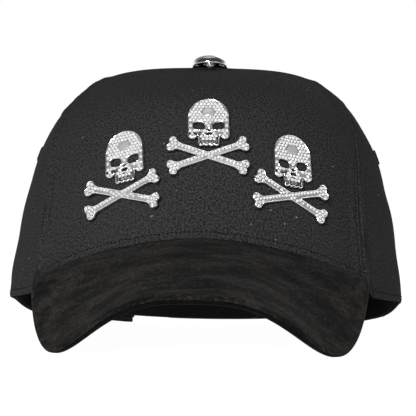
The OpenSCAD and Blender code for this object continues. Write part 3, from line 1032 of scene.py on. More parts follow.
def dress_node(node: str, finish: Material) -> None:
    """Give a CAD node that stays in view a finished material."""
    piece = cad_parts[node]
    if not piece.material_slots:
        piece.data.materials.append(finish)
    for place in piece.material_slots:
        place.material = finish
    LOG.info("%s: kept from the frame", node)


def lathe(name: str, profile: Sequence[tuple[float, float]], place: Matrix, segments: int = 72) -> Object:
    """Turn a profile of radius and height, from the axis at the bottom to the axis at the top."""
    a = np.linspace(0, 2 * math.pi, segments, endpoint=False)
    rings = [p for p in profile if p[0] > 0]
    points = [(0.0, 0.0, profile[0][1])]
    points += [(r * math.cos(t), r * math.sin(t), z) for r, z in rings for t in a]
    points.append((0.0, 0.0, profile[-1][1]))
    faces: list[tuple[int, ...]] = []
    for k in range(segments):
        n = (k + 1) % segments
        faces.append((0, 1 + n, 1 + k))
        for ring in range(len(rings) - 1):
            low = 1 + ring * segments
            faces.append((low + k, low + n, low + segments + n, low + segments + k))
        top = 1 + (len(rings) - 1) * segments
        faces.append((top + k, top + n, len(points) - 1))
    moved = np.array([place @ Vector(p) for p in points])
    return face_outwards(mesh_piece(name, moved, faces, smooth_angle=40))


# ---------------------------------------------------------------------------------------------
# Crown
# ---------------------------------------------------------------------------------------------

EDGE_STEPS = np.array([0, 0.02, 0.05, 0.1, 0.16, 0.24, 0.31, 0.36, 0.4, 0.44, 0.5, 0.6, 0.78, 1.0])


@dataclass
class Crown:
    """Five cloth panels sewn over a stiffener, with taped seams, eyelets and a bound arch."""

    form: CrownForm
    stance: Stance
    cloth_t: float = 0.9
    gap: float = 0.16
    seam_stitch: float = 2.9
    seam_puff: float = 0.75
    rim_stitch: float = 2.6
    eyelets: tuple[tuple[float, float], ...] = ((82, 66), (152, 72), (-82, 66), (-152, 72))
    hole_r: float = 1.75

    def _relief(self, d: np.ndarray, low: np.ndarray) -> np.ndarray:
        """Height of the cloth near a seam and near the rim.

        Args:
            d: Distance from the nearest seam.
            low: Distance from the panel's lower edge.

        Returns:
            Height above the crown's form: a rolled edge, the puff over the seam's tape, and the stitch lines.
        """
        roll = -0.72 * np.exp(-((d / 0.75) ** 2)) - 0.45 * np.exp(-((low / 0.8) ** 2))
        puff = self.seam_puff * smooth(d / 1.2) * (1 - smooth((d - 4.2) / 3))
        dent = -0.5 * np.exp(-(((d - self.seam_stitch) / 0.6) ** 2))
        return roll + puff + dent - 0.14 * np.exp(-(((low - self.rim_stitch) / 0.7) ** 2))

    def _panel(
        self, name: str, th: Grid, up: Grid, low: Grid, wave: tuple[float, float], finish: Material
    ) -> Object:
        """Build one panel from the angles and climbs of its grid.

        Args:
            name: Name of the CAD node it stands for.
            th: Angle of each point, growing along a row.
            up: Climb of each point, growing up a column.
            low: Distance of each point from the lower edge.
            wave: Height and size of the cloth's swells.
            finish: Material.

        Returns:
            The panel.
        """
        base = self.form.point(th, up)
        run = np.linalg.norm(np.diff(base, axis=1), axis=-1)
        left = np.concatenate([np.zeros((base.shape[0], 1)), np.cumsum(run, 1)], 1)
        d = np.minimum(left, left[:, -1:] - left)
        calm = smooth(low / 14) * smooth(d / 4)
        swell = soft_waves(base, wave[0], wave[1], 11) * calm
        pucker = soft_waves(base * np.array([1, 1, 1.7]), 0.12, 7.5, 5) * np.exp(-(((d - 4.5) / 4.5) ** 2))
        out = self._relief(d, low) + swell + pucker * smooth(low / 6) * (wave[0] > 0.15)
        normal = self.form.normal(th, up)
        outer = base + normal * out[..., None]
        inner = base + normal * (np.minimum(out, 0.15) * 0.4 - self.cloth_t)[..., None]
        uv = grid_lengths(base)
        rows, cols = th.shape
        points = self.stance.points(np.stack([outer, inner]))
        piece = mesh_piece(name + "_cloth", points, shell_faces(rows, cols), np.stack([uv, uv]))
        self._pierce(piece, th)
        return hang(face_outwards(piece), finish, CAP, [name])

    def _pierce(self, piece: Object, th: Grid) -> None:
        """Cut the eyelets that fall within a panel."""
        for angle, z in self.eyelets:
            if not th.min() + 6 < angle < th.max() - 6:
                continue
            place = self.form.placement(angle, z, 0, self.stance)
            drill = lathe("drill", [(0, -6), (self.hole_r, -6), (self.hole_r, 4), (0, 4)], place, 32)
            cut = piece.modifiers.new("Eyelet", "BOOLEAN")
            cut.object = drill
            cut.solver = "EXACT"
            graph = bpy.context.evaluated_depsgraph_get()
            mesh = bpy.data.meshes.new_from_object(piece.evaluated_get(graph))
            piece.modifiers.remove(cut)
            piece.data = mesh
            bpy.data.objects.remove(drill)

    def _rows(self) -> np.ndarray:
        """Climbs of a panel's rows, closer together near the rim."""
        near = np.array([0, 0.12, 0.3, 0.5, 0.8, 1.1, 1.4, 1.7, 2.1])
        return np.concatenate([near, np.linspace(2.7, self.form.top, 96)])

    def _span(self, lo: float, hi: float, up: float, count: int) -> np.ndarray:
        """Angles of one row's points, closer together near the seams."""
        fine = np.linspace(lo, hi, 241)
        p = self.form.point(fine, up)
        run = np.concatenate([[0], np.cumsum(np.linalg.norm(np.diff(p, axis=0), axis=-1))])
        zone = min(7.5, 0.3 * run[-1])
        middle = np.linspace(zone, run[-1] - zone, count - 2 * len(EDGE_STEPS) + 2)[1:-1]
        d = np.concatenate([EDGE_STEPS * zone, middle, run[-1] - EDGE_STEPS[::-1] * zone])
        return np.interp(d, run, fine)

    def _half_gap(self, up: float) -> float:
        """Half the gap between two panels, as an angle."""
        return math.degrees(self.gap / 2 / max(0.06, math.cos(math.radians(up))) / self.form.half_w)

    def _from_edge(self, th: Grid, up: Grid) -> Grid:
        """Distance of each point from its column's lower end, along the surface."""
        steps = np.linalg.norm(np.diff(self.form.point(th, up), axis=0), axis=-1)
        return np.concatenate([[np.zeros(th.shape[1])], np.cumsum(steps, 0)])

    def panels(self, cloth: Material) -> None:
        """Build the five panels."""
        ups = self._rows()
        form = self.form
        edge = [(form.front_seam_at(u) - self._half_gap(u), u) for u in ups]
        th = np.stack([self._span(-e, e, u, 160) for e, u in edge])
        up = np.repeat(ups[:, None], th.shape[1], 1)
        low = self._from_edge(th, up)
        self._panel("front_panel", th, up, low, (0.1, 60.0), cloth)
        gaps = [self._half_gap(u) for u in ups]
        ends = [(form.front_seam_at(u) + gap, form.side_seam_at(u) - gap) for u, gap in zip(ups, gaps)]
        side = np.stack([self._span(front, back, u, 130) for (front, back), u in zip(ends, ups)])
        up = np.repeat(ups[:, None], side.shape[1], 1)
        low = self._from_edge(side, up)
        self._panel("left_side_panel", side, up, low, (0.42, 36.0), cloth)
        self._panel("right_side_panel", -side[:, ::-1], up, low[:, ::-1], (0.42, 36.0), cloth)
        back, up = self._back_grid()
        low = self._from_edge(back, up)
        self._panel("left_back_panel", back, up, low, (0.35, 34.0), cloth)
        self._panel("right_back_panel", -back[:, ::-1], up[:, ::-1], low[:, ::-1], (0.35, 34.0), cloth)

    def _back_grid(self, low_share: float = 0.3) -> tuple[Grid, Grid]:
        """Angles and climbs of a back panel, whose lower edge runs up the arch."""
        form = self.form
        near = np.array([0, 0.002, 0.005, 0.009, 0.014, 0.02, 0.026, 0.032, 0.04, 0.052, 0.07, 0.09])
        f = np.concatenate([near, np.linspace(0.11, 0.9, 96), 1 - near[::-1]])
        g = np.concatenate([[0, 0.0015, 0.004, 0.008, 0.013, 0.018, 0.025, 0.032], np.linspace(0.042, 1, 88)])
        arch_th, arch_up = form.arch(np.clip((f - low_share) / (1 - low_share), 0, 1))
        start = form.side_seam + self._half_gap(0)
        flat = f < low_share
        low_th = np.where(flat, mix(start, 180 - form.arch_angle, f / low_share), arch_th)
        low_up = np.where(flat, 0.0, arch_up)
        g, f = g[:, None], f[None, :]
        up = mix(low_up[None, :], form.top, g)
        gaps = np.vectorize(self._half_gap)(up)
        seam = form.side_seam_at(up) + gaps
        top = mix(form.side_seam_at(form.top) + self._half_gap(form.top), 180 - self._half_gap(form.top), f)
        straight = mix(low_th[None, :], top, g)
        th = np.minimum(mix(straight, mix(seam, 180, f), 0.5 * (1 - f) * g), 180 - gaps)
        return np.where(f == 0, seam, th), up

    def _seam_line(
        self, path: Callable[[np.ndarray], np.ndarray], ups: np.ndarray, aside: float, out: float
    ) -> tuple[np.ndarray, np.ndarray]:
        """A line beside a seam.

        Args:
            path: Angle of the seam at a climb.
            ups: Climbs of the line's points.
            aside: Distance from the seam.
            out: Distance outside the crown's form.

        Returns:
            Points and normals.
        """
        th = path(ups)
        above = self.form.point(path(ups + 0.4), ups + 0.4)
        along = unit(above - self.form.point(path(ups - 0.4), np.maximum(ups - 0.4, 0)))
        normal = self.form.normal(th, ups)
        across = np.cross(along, normal)
        p = self.form.point(th, ups) + across * aside + normal * (out - aside * aside / 180)
        return p, normal

    def seams(self) -> dict[str, Callable[[np.ndarray], np.ndarray]]:
        """Angles of the five seams, by name."""
        form = self.form
        return {
            "left_front": form.front_seam_at,
            "right_front": lambda u: -form.front_seam_at(u),
            "left_side": form.side_seam_at,
            "right_side": lambda u: -form.side_seam_at(u),
            "back": lambda u: np.full(np.shape(u), 180.0),
        }

    def sewing(self, thread: Material) -> None:
        """Sew twin rows beside each seam and one row above the visor."""
        row = Sewing("seam_topstitching", self.stance, thread)
        for name, path in self.seams().items():
            _, arch_top = self.form.arch(1.0)
            ups = np.linspace(float(arch_top) + 5.5 if name == "back" else 1.6, 84.0, 160)
            for aside in (-self.seam_stitch, self.seam_stitch):
                row.add(*self._seam_line(path, ups, aside, 0.22))
        row.build("eyelet_thread")
        hem = Sewing("rim_topstitching", self.stance, thread)
        spans = [(-self.form.front_seam + 2.6, self.form.front_seam - 2.6)]
        spans += [(self.form.front_seam + 2.6, 151.0), (-151.0, -self.form.front_seam - 2.6)]
        for lo, hi in spans:
            th = np.linspace(lo, hi, 200)
            _, _, z = self.form.rim(th)
            up = self.form.up_of_height(th, z + self.rim_stitch)
            hem.add(self.form.layer(th, up, np.full(th.shape, -0.02)), self.form.normal(th, up))
        hem.build("eyelet_thread")

    def _skin(
        self, name: str, th: Grid, up: Grid, out: Any, inside: Any, finish: Material
    ) -> Object:
        """A lining piece between two distances from the crown's form."""
        outer, inner = self.form.layer(th, up, out), self.form.layer(th, up, inside)
        uv = grid_lengths(inner)
        points = self.stance.points(np.stack([outer, inner]))
        piece = mesh_piece(name + "_cloth", points, shell_faces(*th.shape), np.stack([uv, uv]))
        return hang(face_outwards(piece), finish, CAP, [name])

    def lining(self, buckram: Material, tape: Material, label: Material) -> None:
        """Build the stiffener, the seam tapes and the blank label."""
        form = self.form
        up = np.repeat(np.linspace(2, 66, 60)[:, None], 90, 1)
        edge = form.front_seam_at(up[:, 0]) - 5 - 6 * (up[:, 0] / 66) ** 2
        th = edge[:, None] * np.linspace(-1, 1, 90)[None, :]
        mesh_dent = soft_waves(form.point(th, up), 0.05, 9.0, 3)
        self._skin("front_stiffener", th, up, -1.25 + 0 * th, -1.85 + mesh_dent, buckram)
        for name, path in self.seams().items():
            low = 30.0 if name == "back" else 1.0
            self._tape(name + "_seam_tape", path, np.linspace(low, 80, 90), tape)
        th, z = np.meshgrid(np.linspace(122, 140, 40), np.linspace(8, 24, 24))
        thin_ends = np.minimum(1, np.minimum(th - 122, 140 - th) / 0.5)
        thick = 0.16 * thin_ends * np.minimum(1, np.minimum(z - 8, 24 - z) / 0.6)
        up = form.up_of_height(th, z)
        self._skin("inside_label", th, up, -4.25 + 0 * th, -4.4 - thick, label)

    def _tape(self, name: str, path: Callable, ups: np.ndarray, finish: Material) -> None:
        """A flat tape up the inside of a seam."""
        lanes = np.linspace(-6, 6, 13)
        outer, inner = [], []
        for aside in lanes:
            puff = 0.25 * (1 - (aside / 6) ** 4)
            outer.append(self._seam_line(path, ups, aside, -1.9)[0])
            inner.append(self._seam_line(path, ups, aside, -2.12 - puff)[0])
        grids = [np.stack(g, 1) for g in (outer, inner)]
        uv = grid_lengths(grids[1])[..., ::-1]
        points = self.stance.points(np.stack(grids))
        piece = mesh_piece(name + "_cloth", points, shell_faces(len(ups), len(lanes)), np.stack([uv, uv]))
        hang(face_outwards(piece), finish, CAP, [name])

    def eyelet_rings(self, thread: Material) -> None:
        """Sew the four eyelets: a cord ring under close radial stitches."""
        rings = []
        places, along, up = [], [], []
        for angle, z in self.eyelets:
            place = self.form.placement(angle, z, 0, self.stance)
            round_way = np.linspace(0, 2 * math.pi, 12, endpoint=False)
            profile = [(2.55 + 0.95 * math.cos(a), 0.28 + 0.5 * math.sin(a)) for a in round_way]
            turn = np.linspace(0, 2 * math.pi, 48, endpoint=False)
            ring = np.array(
                [[place @ Vector((r * math.cos(t), r * math.sin(t), h)) for r, h in profile] for t in turn]
            )
            rings.append(face_outwards(mesh_piece("ring", ring, sweep_faces(48, 12, True))))
            flat = place.to_3x3()
            for t in np.linspace(0, 2 * math.pi, 44, endpoint=False):
                way = Vector((math.cos(t), math.sin(t), 0))
                places.append(place @ (way * 2.6 + Vector((0, 0, 0.5))))
                along.append(flat @ way)
                up.append(flat @ Vector((0, 0, 1)))
        base = join_meshes("eyelet_cords", rings)
        hang(base, thread, CAP, ["eyelet_rings"])
        wraps = Repeat(Shape.STITCH, 2.1, 0.4, 0.75, 0.04, 0.06)
        piece = wraps.build("eyelet_stitches", np.array(places), np.array(along), np.array(up), thread)
        hang(piece, None)

    def binding(self, tape: Material, thread: Material) -> None:
        """Fold a tape over the arch's edge and sew it down."""
        form = self.form
        k = np.linspace(-0.96, 0.96, 150)
        q = lambda k: ((lambda th, up: (np.where(k < 0, th, -th), up))(*form.arch(1 - np.abs(k))))
        th, up = q(k)
        p, n = form.point(th, up), form.normal(th, up)
        along = unit(form.point(*q(np.minimum(0.98, k + 0.02))) - form.point(*q(np.maximum(-0.98, k - 0.02))))
        away = np.cross(n, along)
        section = [(6.5, 0.25), (6.6, 0.45), (6.4, 0.66), (3, 0.74), (0.4, 0.7), (-0.35, 0.6), (-0.78, 0.15)]
        section += [(-0.9, -0.45), (-0.78, -1.1), (-0.35, -1.55), (0.4, -1.65)]
        section += [(6.4, -1.62), (6.6, -1.4), (6.5, -1.2)]
        section += [(-0.2, -1.15), (-0.2, 0.2)]
        grid = np.stack([p + away * a + n * b for a, b in section], 1)
        uv = grid_lengths(grid, False)[..., ::-1]
        faces = sweep_faces(len(k), len(section))
        piece = mesh_piece("arch_binding_cloth", self.stance.points(grid), faces, uv)
        hang(face_outwards(piece), tape, CAP, ["arch_binding"])
        row = Sewing("arch_stitching", self.stance, thread)
        for reach in (1.2, 5.4):
            row.add(p + away * reach + n * 0.78, n, 2.0)
        row.build("eyelet_thread")

    def sweatband(self, cloth: Material, thread: Material) -> None:
        """Build the padded band inside the rim, quilted by two rows."""
        form = self.form
        th = np.repeat(np.linspace(-144, 144, 260)[None, :], 30, 0)
        share = np.repeat(np.linspace(0, 1, 30)[:, None], 260, 1)
        _, _, rim = form.rim(th)
        up = form.up_of_height(th, rim + 0.4 + 32 * share)
        out = -2.5 - 1.6 * smooth((42 - np.abs(th)) / 8)
        pad = np.abs(np.sin(share * math.pi * 3)) ** 0.6
        edge = np.minimum(1, np.minimum(share, 1 - share) * 18) ** 0.5
        crease = soft_waves(form.point(th, up) * np.array([1, 1, 0.4]), 0.1, 9, 8)
        inside = out - 0.75 - (0.62 * pad + crease * 0.6) * edge
        band = self._skin("sweatband", th, up, out - 0.2 * (1 - edge), inside, cloth)
        row = Sewing("sweatband_stitching", self.stance, thread, Repeat(Shape.STITCH, 2.2, 0.5, 0.4))
        line = np.linspace(-143, 143, 420)
        _, _, rim = form.rim(line)
        shift = -2.5 - 1.6 * smooth((42 - np.abs(line)) / 8)
        for share in (1 / 3, 2 / 3):
            up = form.up_of_height(line, rim + 0.4 + 32 * share)
            row.add(form.layer(line, up, shift - 0.85), -form.normal(line, up), 2.8)
        row.build("eyelet_thread")


# ---------------------------------------------------------------------------------------------
# Visor
# ---------------------------------------------------------------------------------------------


@dataclass
class Visor:
    """A curved board between two suede covers, with a corded edge."""

    form: VisorForm
    stance: Stance
    cover_t: float = 0.7
    total_t: float = 3.7
    reach: float = 0.992

    def _frame(self, s: np.ndarray) -> tuple[np.ndarray, np.ndarray, np.ndarray, np.ndarray, np.ndarray]:
        """Edge points, normals, outward directions, roll radii and widths at places along the edge."""
        edge, root = self.form.point(s, 1.0), self.form.point(s, 0.0)
        width = np.linalg.norm(edge - root, axis=-1)
        normal = self.form.normal(s, 1.0)
        ahead, behind = np.minimum(1, s + 0.01), np.maximum(-1, s - 0.01)
        along = unit(self.form.point(ahead, 1.0) - self.form.point(behind, 1.0))
        return edge, normal, np.cross(along, normal), np.minimum(self.total_t / 2, 0.3 * width), width

    def _cover(self, name: str, top: bool, finish: Material) -> Object:
        """Build one cover, with its free edge rolled round the board.

        Args:
            name: CAD node it stands for.
            top: True for the upper cover.
            finish: Material.

        Returns:
            The cover.
        """
        s = np.linspace(-self.reach, self.reach, 231)
        _, n, out, radius, width = self._frame(s)
        t = self.total_t
        r = np.concatenate([np.linspace(0, 0.92, 46), np.linspace(0.93, 1, 8)])
        deep = r[:, None] * (1 - radius / width)[None, :]
        sheet = self.form.point(s[None, :], deep)
        up = self.form.normal(s[None, :], deep)
        nap = soft_waves(sheet, 0.09, 13.0, 4) * smooth(deep * width / 5) * smooth((1 - deep) * width / 5)
        seat = sheet[-1]
        angle = np.radians(np.linspace(8, 80, 9))[:, None, None]
        sign = 1.0 if top else -1.0
        drop = 0.0 if top else t

        def section(inset: float) -> np.ndarray:
            """One face of the cover, inset from its outer face."""
            flat = sheet + up * (sign * (nap - inset) - drop)[..., None]
            k = (radius - min(inset, 0.6))[None, :, None]
            centre = seat - n * t / 2
            high = (t / 2 - inset) * sign
            roll = centre + out * np.sin(angle) * k + n * np.cos(angle) * high
            return np.concatenate([flat, roll])

        grids = np.stack([section(0.0), section(self.cover_t)])
        uv = grid_lengths(grids[0])
        rows, cols = grids[0].shape[:2]
        points = self.stance.points(grids)
        piece = mesh_piece(name + "_suede", points, shell_faces(rows, cols), np.stack([uv, uv]))
        return hang(face_outwards(piece), finish, CAP, [name])

    def build(self, suede: Material, under: Material, board: Material) -> None:
        """Build the covers and the edge cord, and finish the board."""
        self._cover("visor_top_cover", True, suede)
        # The under cover takes the darkened under suede, which is painted shade for the visor's underside.
        self._cover("visor_under_cover", False, under)
        s = np.linspace(-0.97, 0.97, 260)
        _, n, out, radius, width = self._frame(s)
        seat = self.form.point(s, 1 - radius / width) - n * self.total_t / 2
        a = np.linspace(0, 2 * math.pi, 12, endpoint=False)
        k = (radius - 0.32)[:, None, None]
        aside, rise = k + 0.5 * np.cos(a)[None, :, None], 0.5 * np.sin(a)[None, :, None]
        ring = seat[:, None] + out[:, None] * aside + n[:, None] * rise
        uv = grid_lengths(ring, False)[..., ::-1]
        cord = mesh_piece("visor_edge_cord", self.stance.points(ring), sweep_faces(len(s), len(a)), uv)
        # The cord takes the darkened under suede too, so it carries painted shade along the visor's edge.
        hang(face_outwards(cord), under, CAP, ["visor_edge_piping"])
        dress_node("visor_board", board)


# ---------------------------------------------------------------------------------------------
# Flat shapes by distance
# ---------------------------------------------------------------------------------------------

Field = Callable[[np.ndarray, np.ndarray], np.ndarray]


def joined(a: np.ndarray, b: np.ndarray, soft: float = 0.5) -> np.ndarray:
    """Two shapes joined with a small fillet."""
    h = np.clip(0.5 + 0.5 * (b - a) / soft, 0, 1)
    return mix(b, a, h) - soft * h * (1 - h)


def cut_from(a: np.ndarray, b: np.ndarray, soft: float = 0.3) -> np.ndarray:
    """Shape a with shape b cut out of it."""
    return -joined(-a, b, soft)


def box_field(x: np.ndarray, y: np.ndarray, half_x: float, half_y: float, corner: float) -> np.ndarray:
    """Distance from a rounded box round the origin."""
    dx, dy = np.abs(x) - half_x + corner, np.abs(y) - half_y + corner
    return np.hypot(np.maximum(dx, 0), np.maximum(dy, 0)) + np.minimum(np.maximum(dx, dy), 0) - corner


def skull_field(x: np.ndarray, y: np.ndarray) -> np.ndarray:
    """Distance from the skull's outline, which is a little taller than it is wide."""
    side, y = np.abs(x), (y + 0.4) / 1.09
    d = np.minimum(np.hypot(x, y - 3.2) - 8.6, box_field(x, y + 0.6, 8.6, 3.8, 1.2))
    d = joined(d, np.hypot(side - 6.7, y + 4.8) - 2.1, 0.5)
    d = joined(d, box_field(x, y + 6.2, 4.4, 2.8, 0.5), 0.6)
    for tooth in (1.065, 3.195):
        d = joined(d, np.hypot(side - tooth, y + 9.0) - 1.2, 0.12)
    eye = box_field(side - 4.05, y + 0.95 - 0.1 * (side - 4), 2.45, 1.8, 1.5)
    nose = joined(np.hypot(side - 0.6, y + 4.75) - 0.75, np.hypot(x, y + 3.0) - 0.7, 0.6)
    return cut_from(cut_from(d, eye), nose)


def bone_frames(x: np.ndarray, y: np.ndarray) -> list[tuple[np.ndarray, np.ndarray]]:
    """Coordinates along and across each of the two crossed bones."""
    c, s = math.cos(math.radians(20)), math.sin(math.radians(20))
    return [(x * c + y * s, y * c - x * s), (x * c - y * s, y * c + x * s)]


def bones_field(x: np.ndarray, y: np.ndarray) -> np.ndarray:
    """Distance from the outline of the crossed bones."""
    total = np.full(np.shape(x), 1e3)
    for u, v in bone_frames(x, y):
        end = np.hypot(np.abs(u) - 15.75, np.abs(v) - 1.6) - 1.8
        end = joined(end, np.hypot(np.abs(u) - 14.6, v) - 2.2, 0.4)
        total = joined(total, joined(box_field(u, v, 15, 1.5, 0.2), end, 0.7), 0.5)
    return total


def brow_field(x: np.ndarray, y: np.ndarray) -> np.ndarray:
    """Distance from the outline of the polished plate on a skull's brow."""
    return np.maximum(np.hypot(x, y - 5) - 2.4, 3.6 - y)


def outline_loops(
    shape: Field, half_x: float, low_y: float, high_y: float, step: float = 0.12
) -> list[np.ndarray]:
    """Closed outlines of a flat shape, walked with the shape on the left.

    Args:
        shape: Distance field, negative inside.
        half_x: Half the width of the searched area.
        low_y: Its lower edge.
        high_y: Its upper edge.
        step: Size of the search cells.

    Returns:
        Loops of evenly spaced points.
    """
    xs, ys = np.arange(-half_x, half_x, step) + 0.013, np.arange(low_y, high_y, step) + 0.017
    value = shape(*np.meshgrid(xs, ys))
    inside = value < 0
    follow: dict[tuple[int, int, int], tuple[int, int, int]] = {}
    place: dict[tuple[int, int, int], tuple[float, float]] = {}

    def cross(r: int, c: int, way: int) -> tuple[int, int, int]:
        """The key of a crossing on a cell's edge: way 0 runs along x and 1 along y."""
        key = (r, c, way)
        if key not in place:
            a, b = value[r, c], value[r + way, c + 1 - way]
            t = a / (a - b) * step
            place[key] = (xs[c] + (t if way == 0 else 0), ys[r] + (t if way == 1 else 0))
        return key

    mixed = inside[:-1, :-1].astype(int) + inside[1:, :-1] + inside[:-1, 1:] + inside[1:, 1:]
    for r, c in np.argwhere((mixed > 0) & (mixed < 4)):
        corners = [inside[r, c], inside[r, c + 1], inside[r + 1, c + 1], inside[r + 1, c]]
        edges = [(r, c, 0), (r, c + 1, 1), (r + 1, c, 0), (r, c, 1)]
        for k in range(4):
            if corners[k] and not corners[(k + 1) % 4]:
                for j in range(1, 4):
                    m = (k - j) % 4
                    if not corners[m] and corners[(m + 1) % 4]:
                        follow[cross(*edges[k])] = cross(*edges[m])
                        break
    loops = []
    while follow:
        key = first = next(iter(follow))
        loop = []
        while key in follow:
            loop.append(place[key])
            key = follow.pop(key)
        if key == first and len(loop) > 12:
            loops.append(even_loop(np.array(loop), 0.24))
    loops.sort(key=len, reverse=True)
    area = lambda p: np.sum(p[:, 0] * np.roll(p[:, 1], -1) - p[:, 1] * np.roll(p[:, 0], -1))
    return [p if (area(p) > 0) == (k == 0) else p[::-1] for k, p in enumerate(loops)]


def even_loop(p: np.ndarray, step: float) -> np.ndarray:
    """A loop with evenly spaced, slightly smoothed points."""
    q = np.concatenate([p, p[:1]])
    run = np.concatenate([[0], np.cumsum(np.linalg.norm(np.diff(q, axis=0), axis=-1))])
    at = np.linspace(0, run[-1], max(12, int(run[-1] / step)), endpoint=False)
    out = np.stack([np.interp(at, run, q[:, k]) for k in range(2)], -1)
    for _ in range(2):
        out = 0.5 * out + 0.25 * (np.roll(out, 1, 0) + np.roll(out, -1, 0))
    return out


def inset_loop(loop: np.ndarray, by: float) -> np.ndarray:
    """A loop moved to its left, which is into the shape."""
    way = np.roll(loop, -1, 0) - np.roll(loop, 1, 0)
    way /= np.maximum(np.linalg.norm(way, axis=-1, keepdims=True), 1e-9)
    return loop + np.stack([-way[:, 1], way[:, 0]], -1) * by


def flat_plate(
    name: str, loops: Sequence[np.ndarray], rings: Sequence[tuple[float, float]], finish_cap: bool = True
) -> tuple[np.ndarray, list[tuple[int, ...]], int]:
    """Points and faces of a plate with rounded edges.

    Args:
        name: Name used in messages.
        loops: Outline first, then holes.
        rings: Inset and height of each ring up the wall, from the underside to the top.
        finish_cap: Close both faces.

    Returns:
        Points in millimetres, faces, and the number of faces that aren't on the top.
    """
    points, faces = [], []
    layers = []
    for inset, z in rings:
        layer = [inset_loop(loop, inset) for loop in loops]
        layers.append(layer)
        for loop in layer:
            points.append(np.column_stack([loop, np.full(len(loop), z)]))
    count = sum(len(loop) for loop in loops)
    start = 0
    for loop in loops:
        n = len(loop)
        for ring in range(len(rings) - 1):
            a = start + ring * count
            for k in range(n):
                j = (k + 1) % n
                faces.append((a + k, a + j, a + j + count, a + k + count))
        start += n
    if finish_cap:
        bottom = tessellate_polygon([[Vector((x, y, 0)) for x, y in loop] for loop in layers[0]])
        faces += [tuple(reversed(f)) for f in bottom]
    below = len(faces)
    if finish_cap:
        top = tessellate_polygon([[Vector((x, y, 0)) for x, y in loop] for loop in layers[-1]])
        base = (len(rings) - 1) * count
        faces += [tuple(base + i for i in f) for f in top]
    LOG.debug("%s: %d loops", name, len(loops))
    return np.concatenate(points), faces, below


# ---------------------------------------------------------------------------------------------
# Charms
# ---------------------------------------------------------------------------------------------


@dataclass(frozen=True)
class CharmPlace:
    """Where one skull and its crossed bones sit: angle, height and roll of each."""

    name: str
    skull: tuple[float, float, float]
    bones: tuple[float, float, float]


CHARMS = (
    CharmPlace("left", (25.5, 46.2, -3.5), (24.3, 31.2, -8.0)),
    CharmPlace("right", (-21.6, 46.8, 9.0), (-21.3, 30.8, 6.8)),
    CharmPlace("centre", (1.8, 61.2, 1.4), (1.8, 46.7, 1.2)),
)


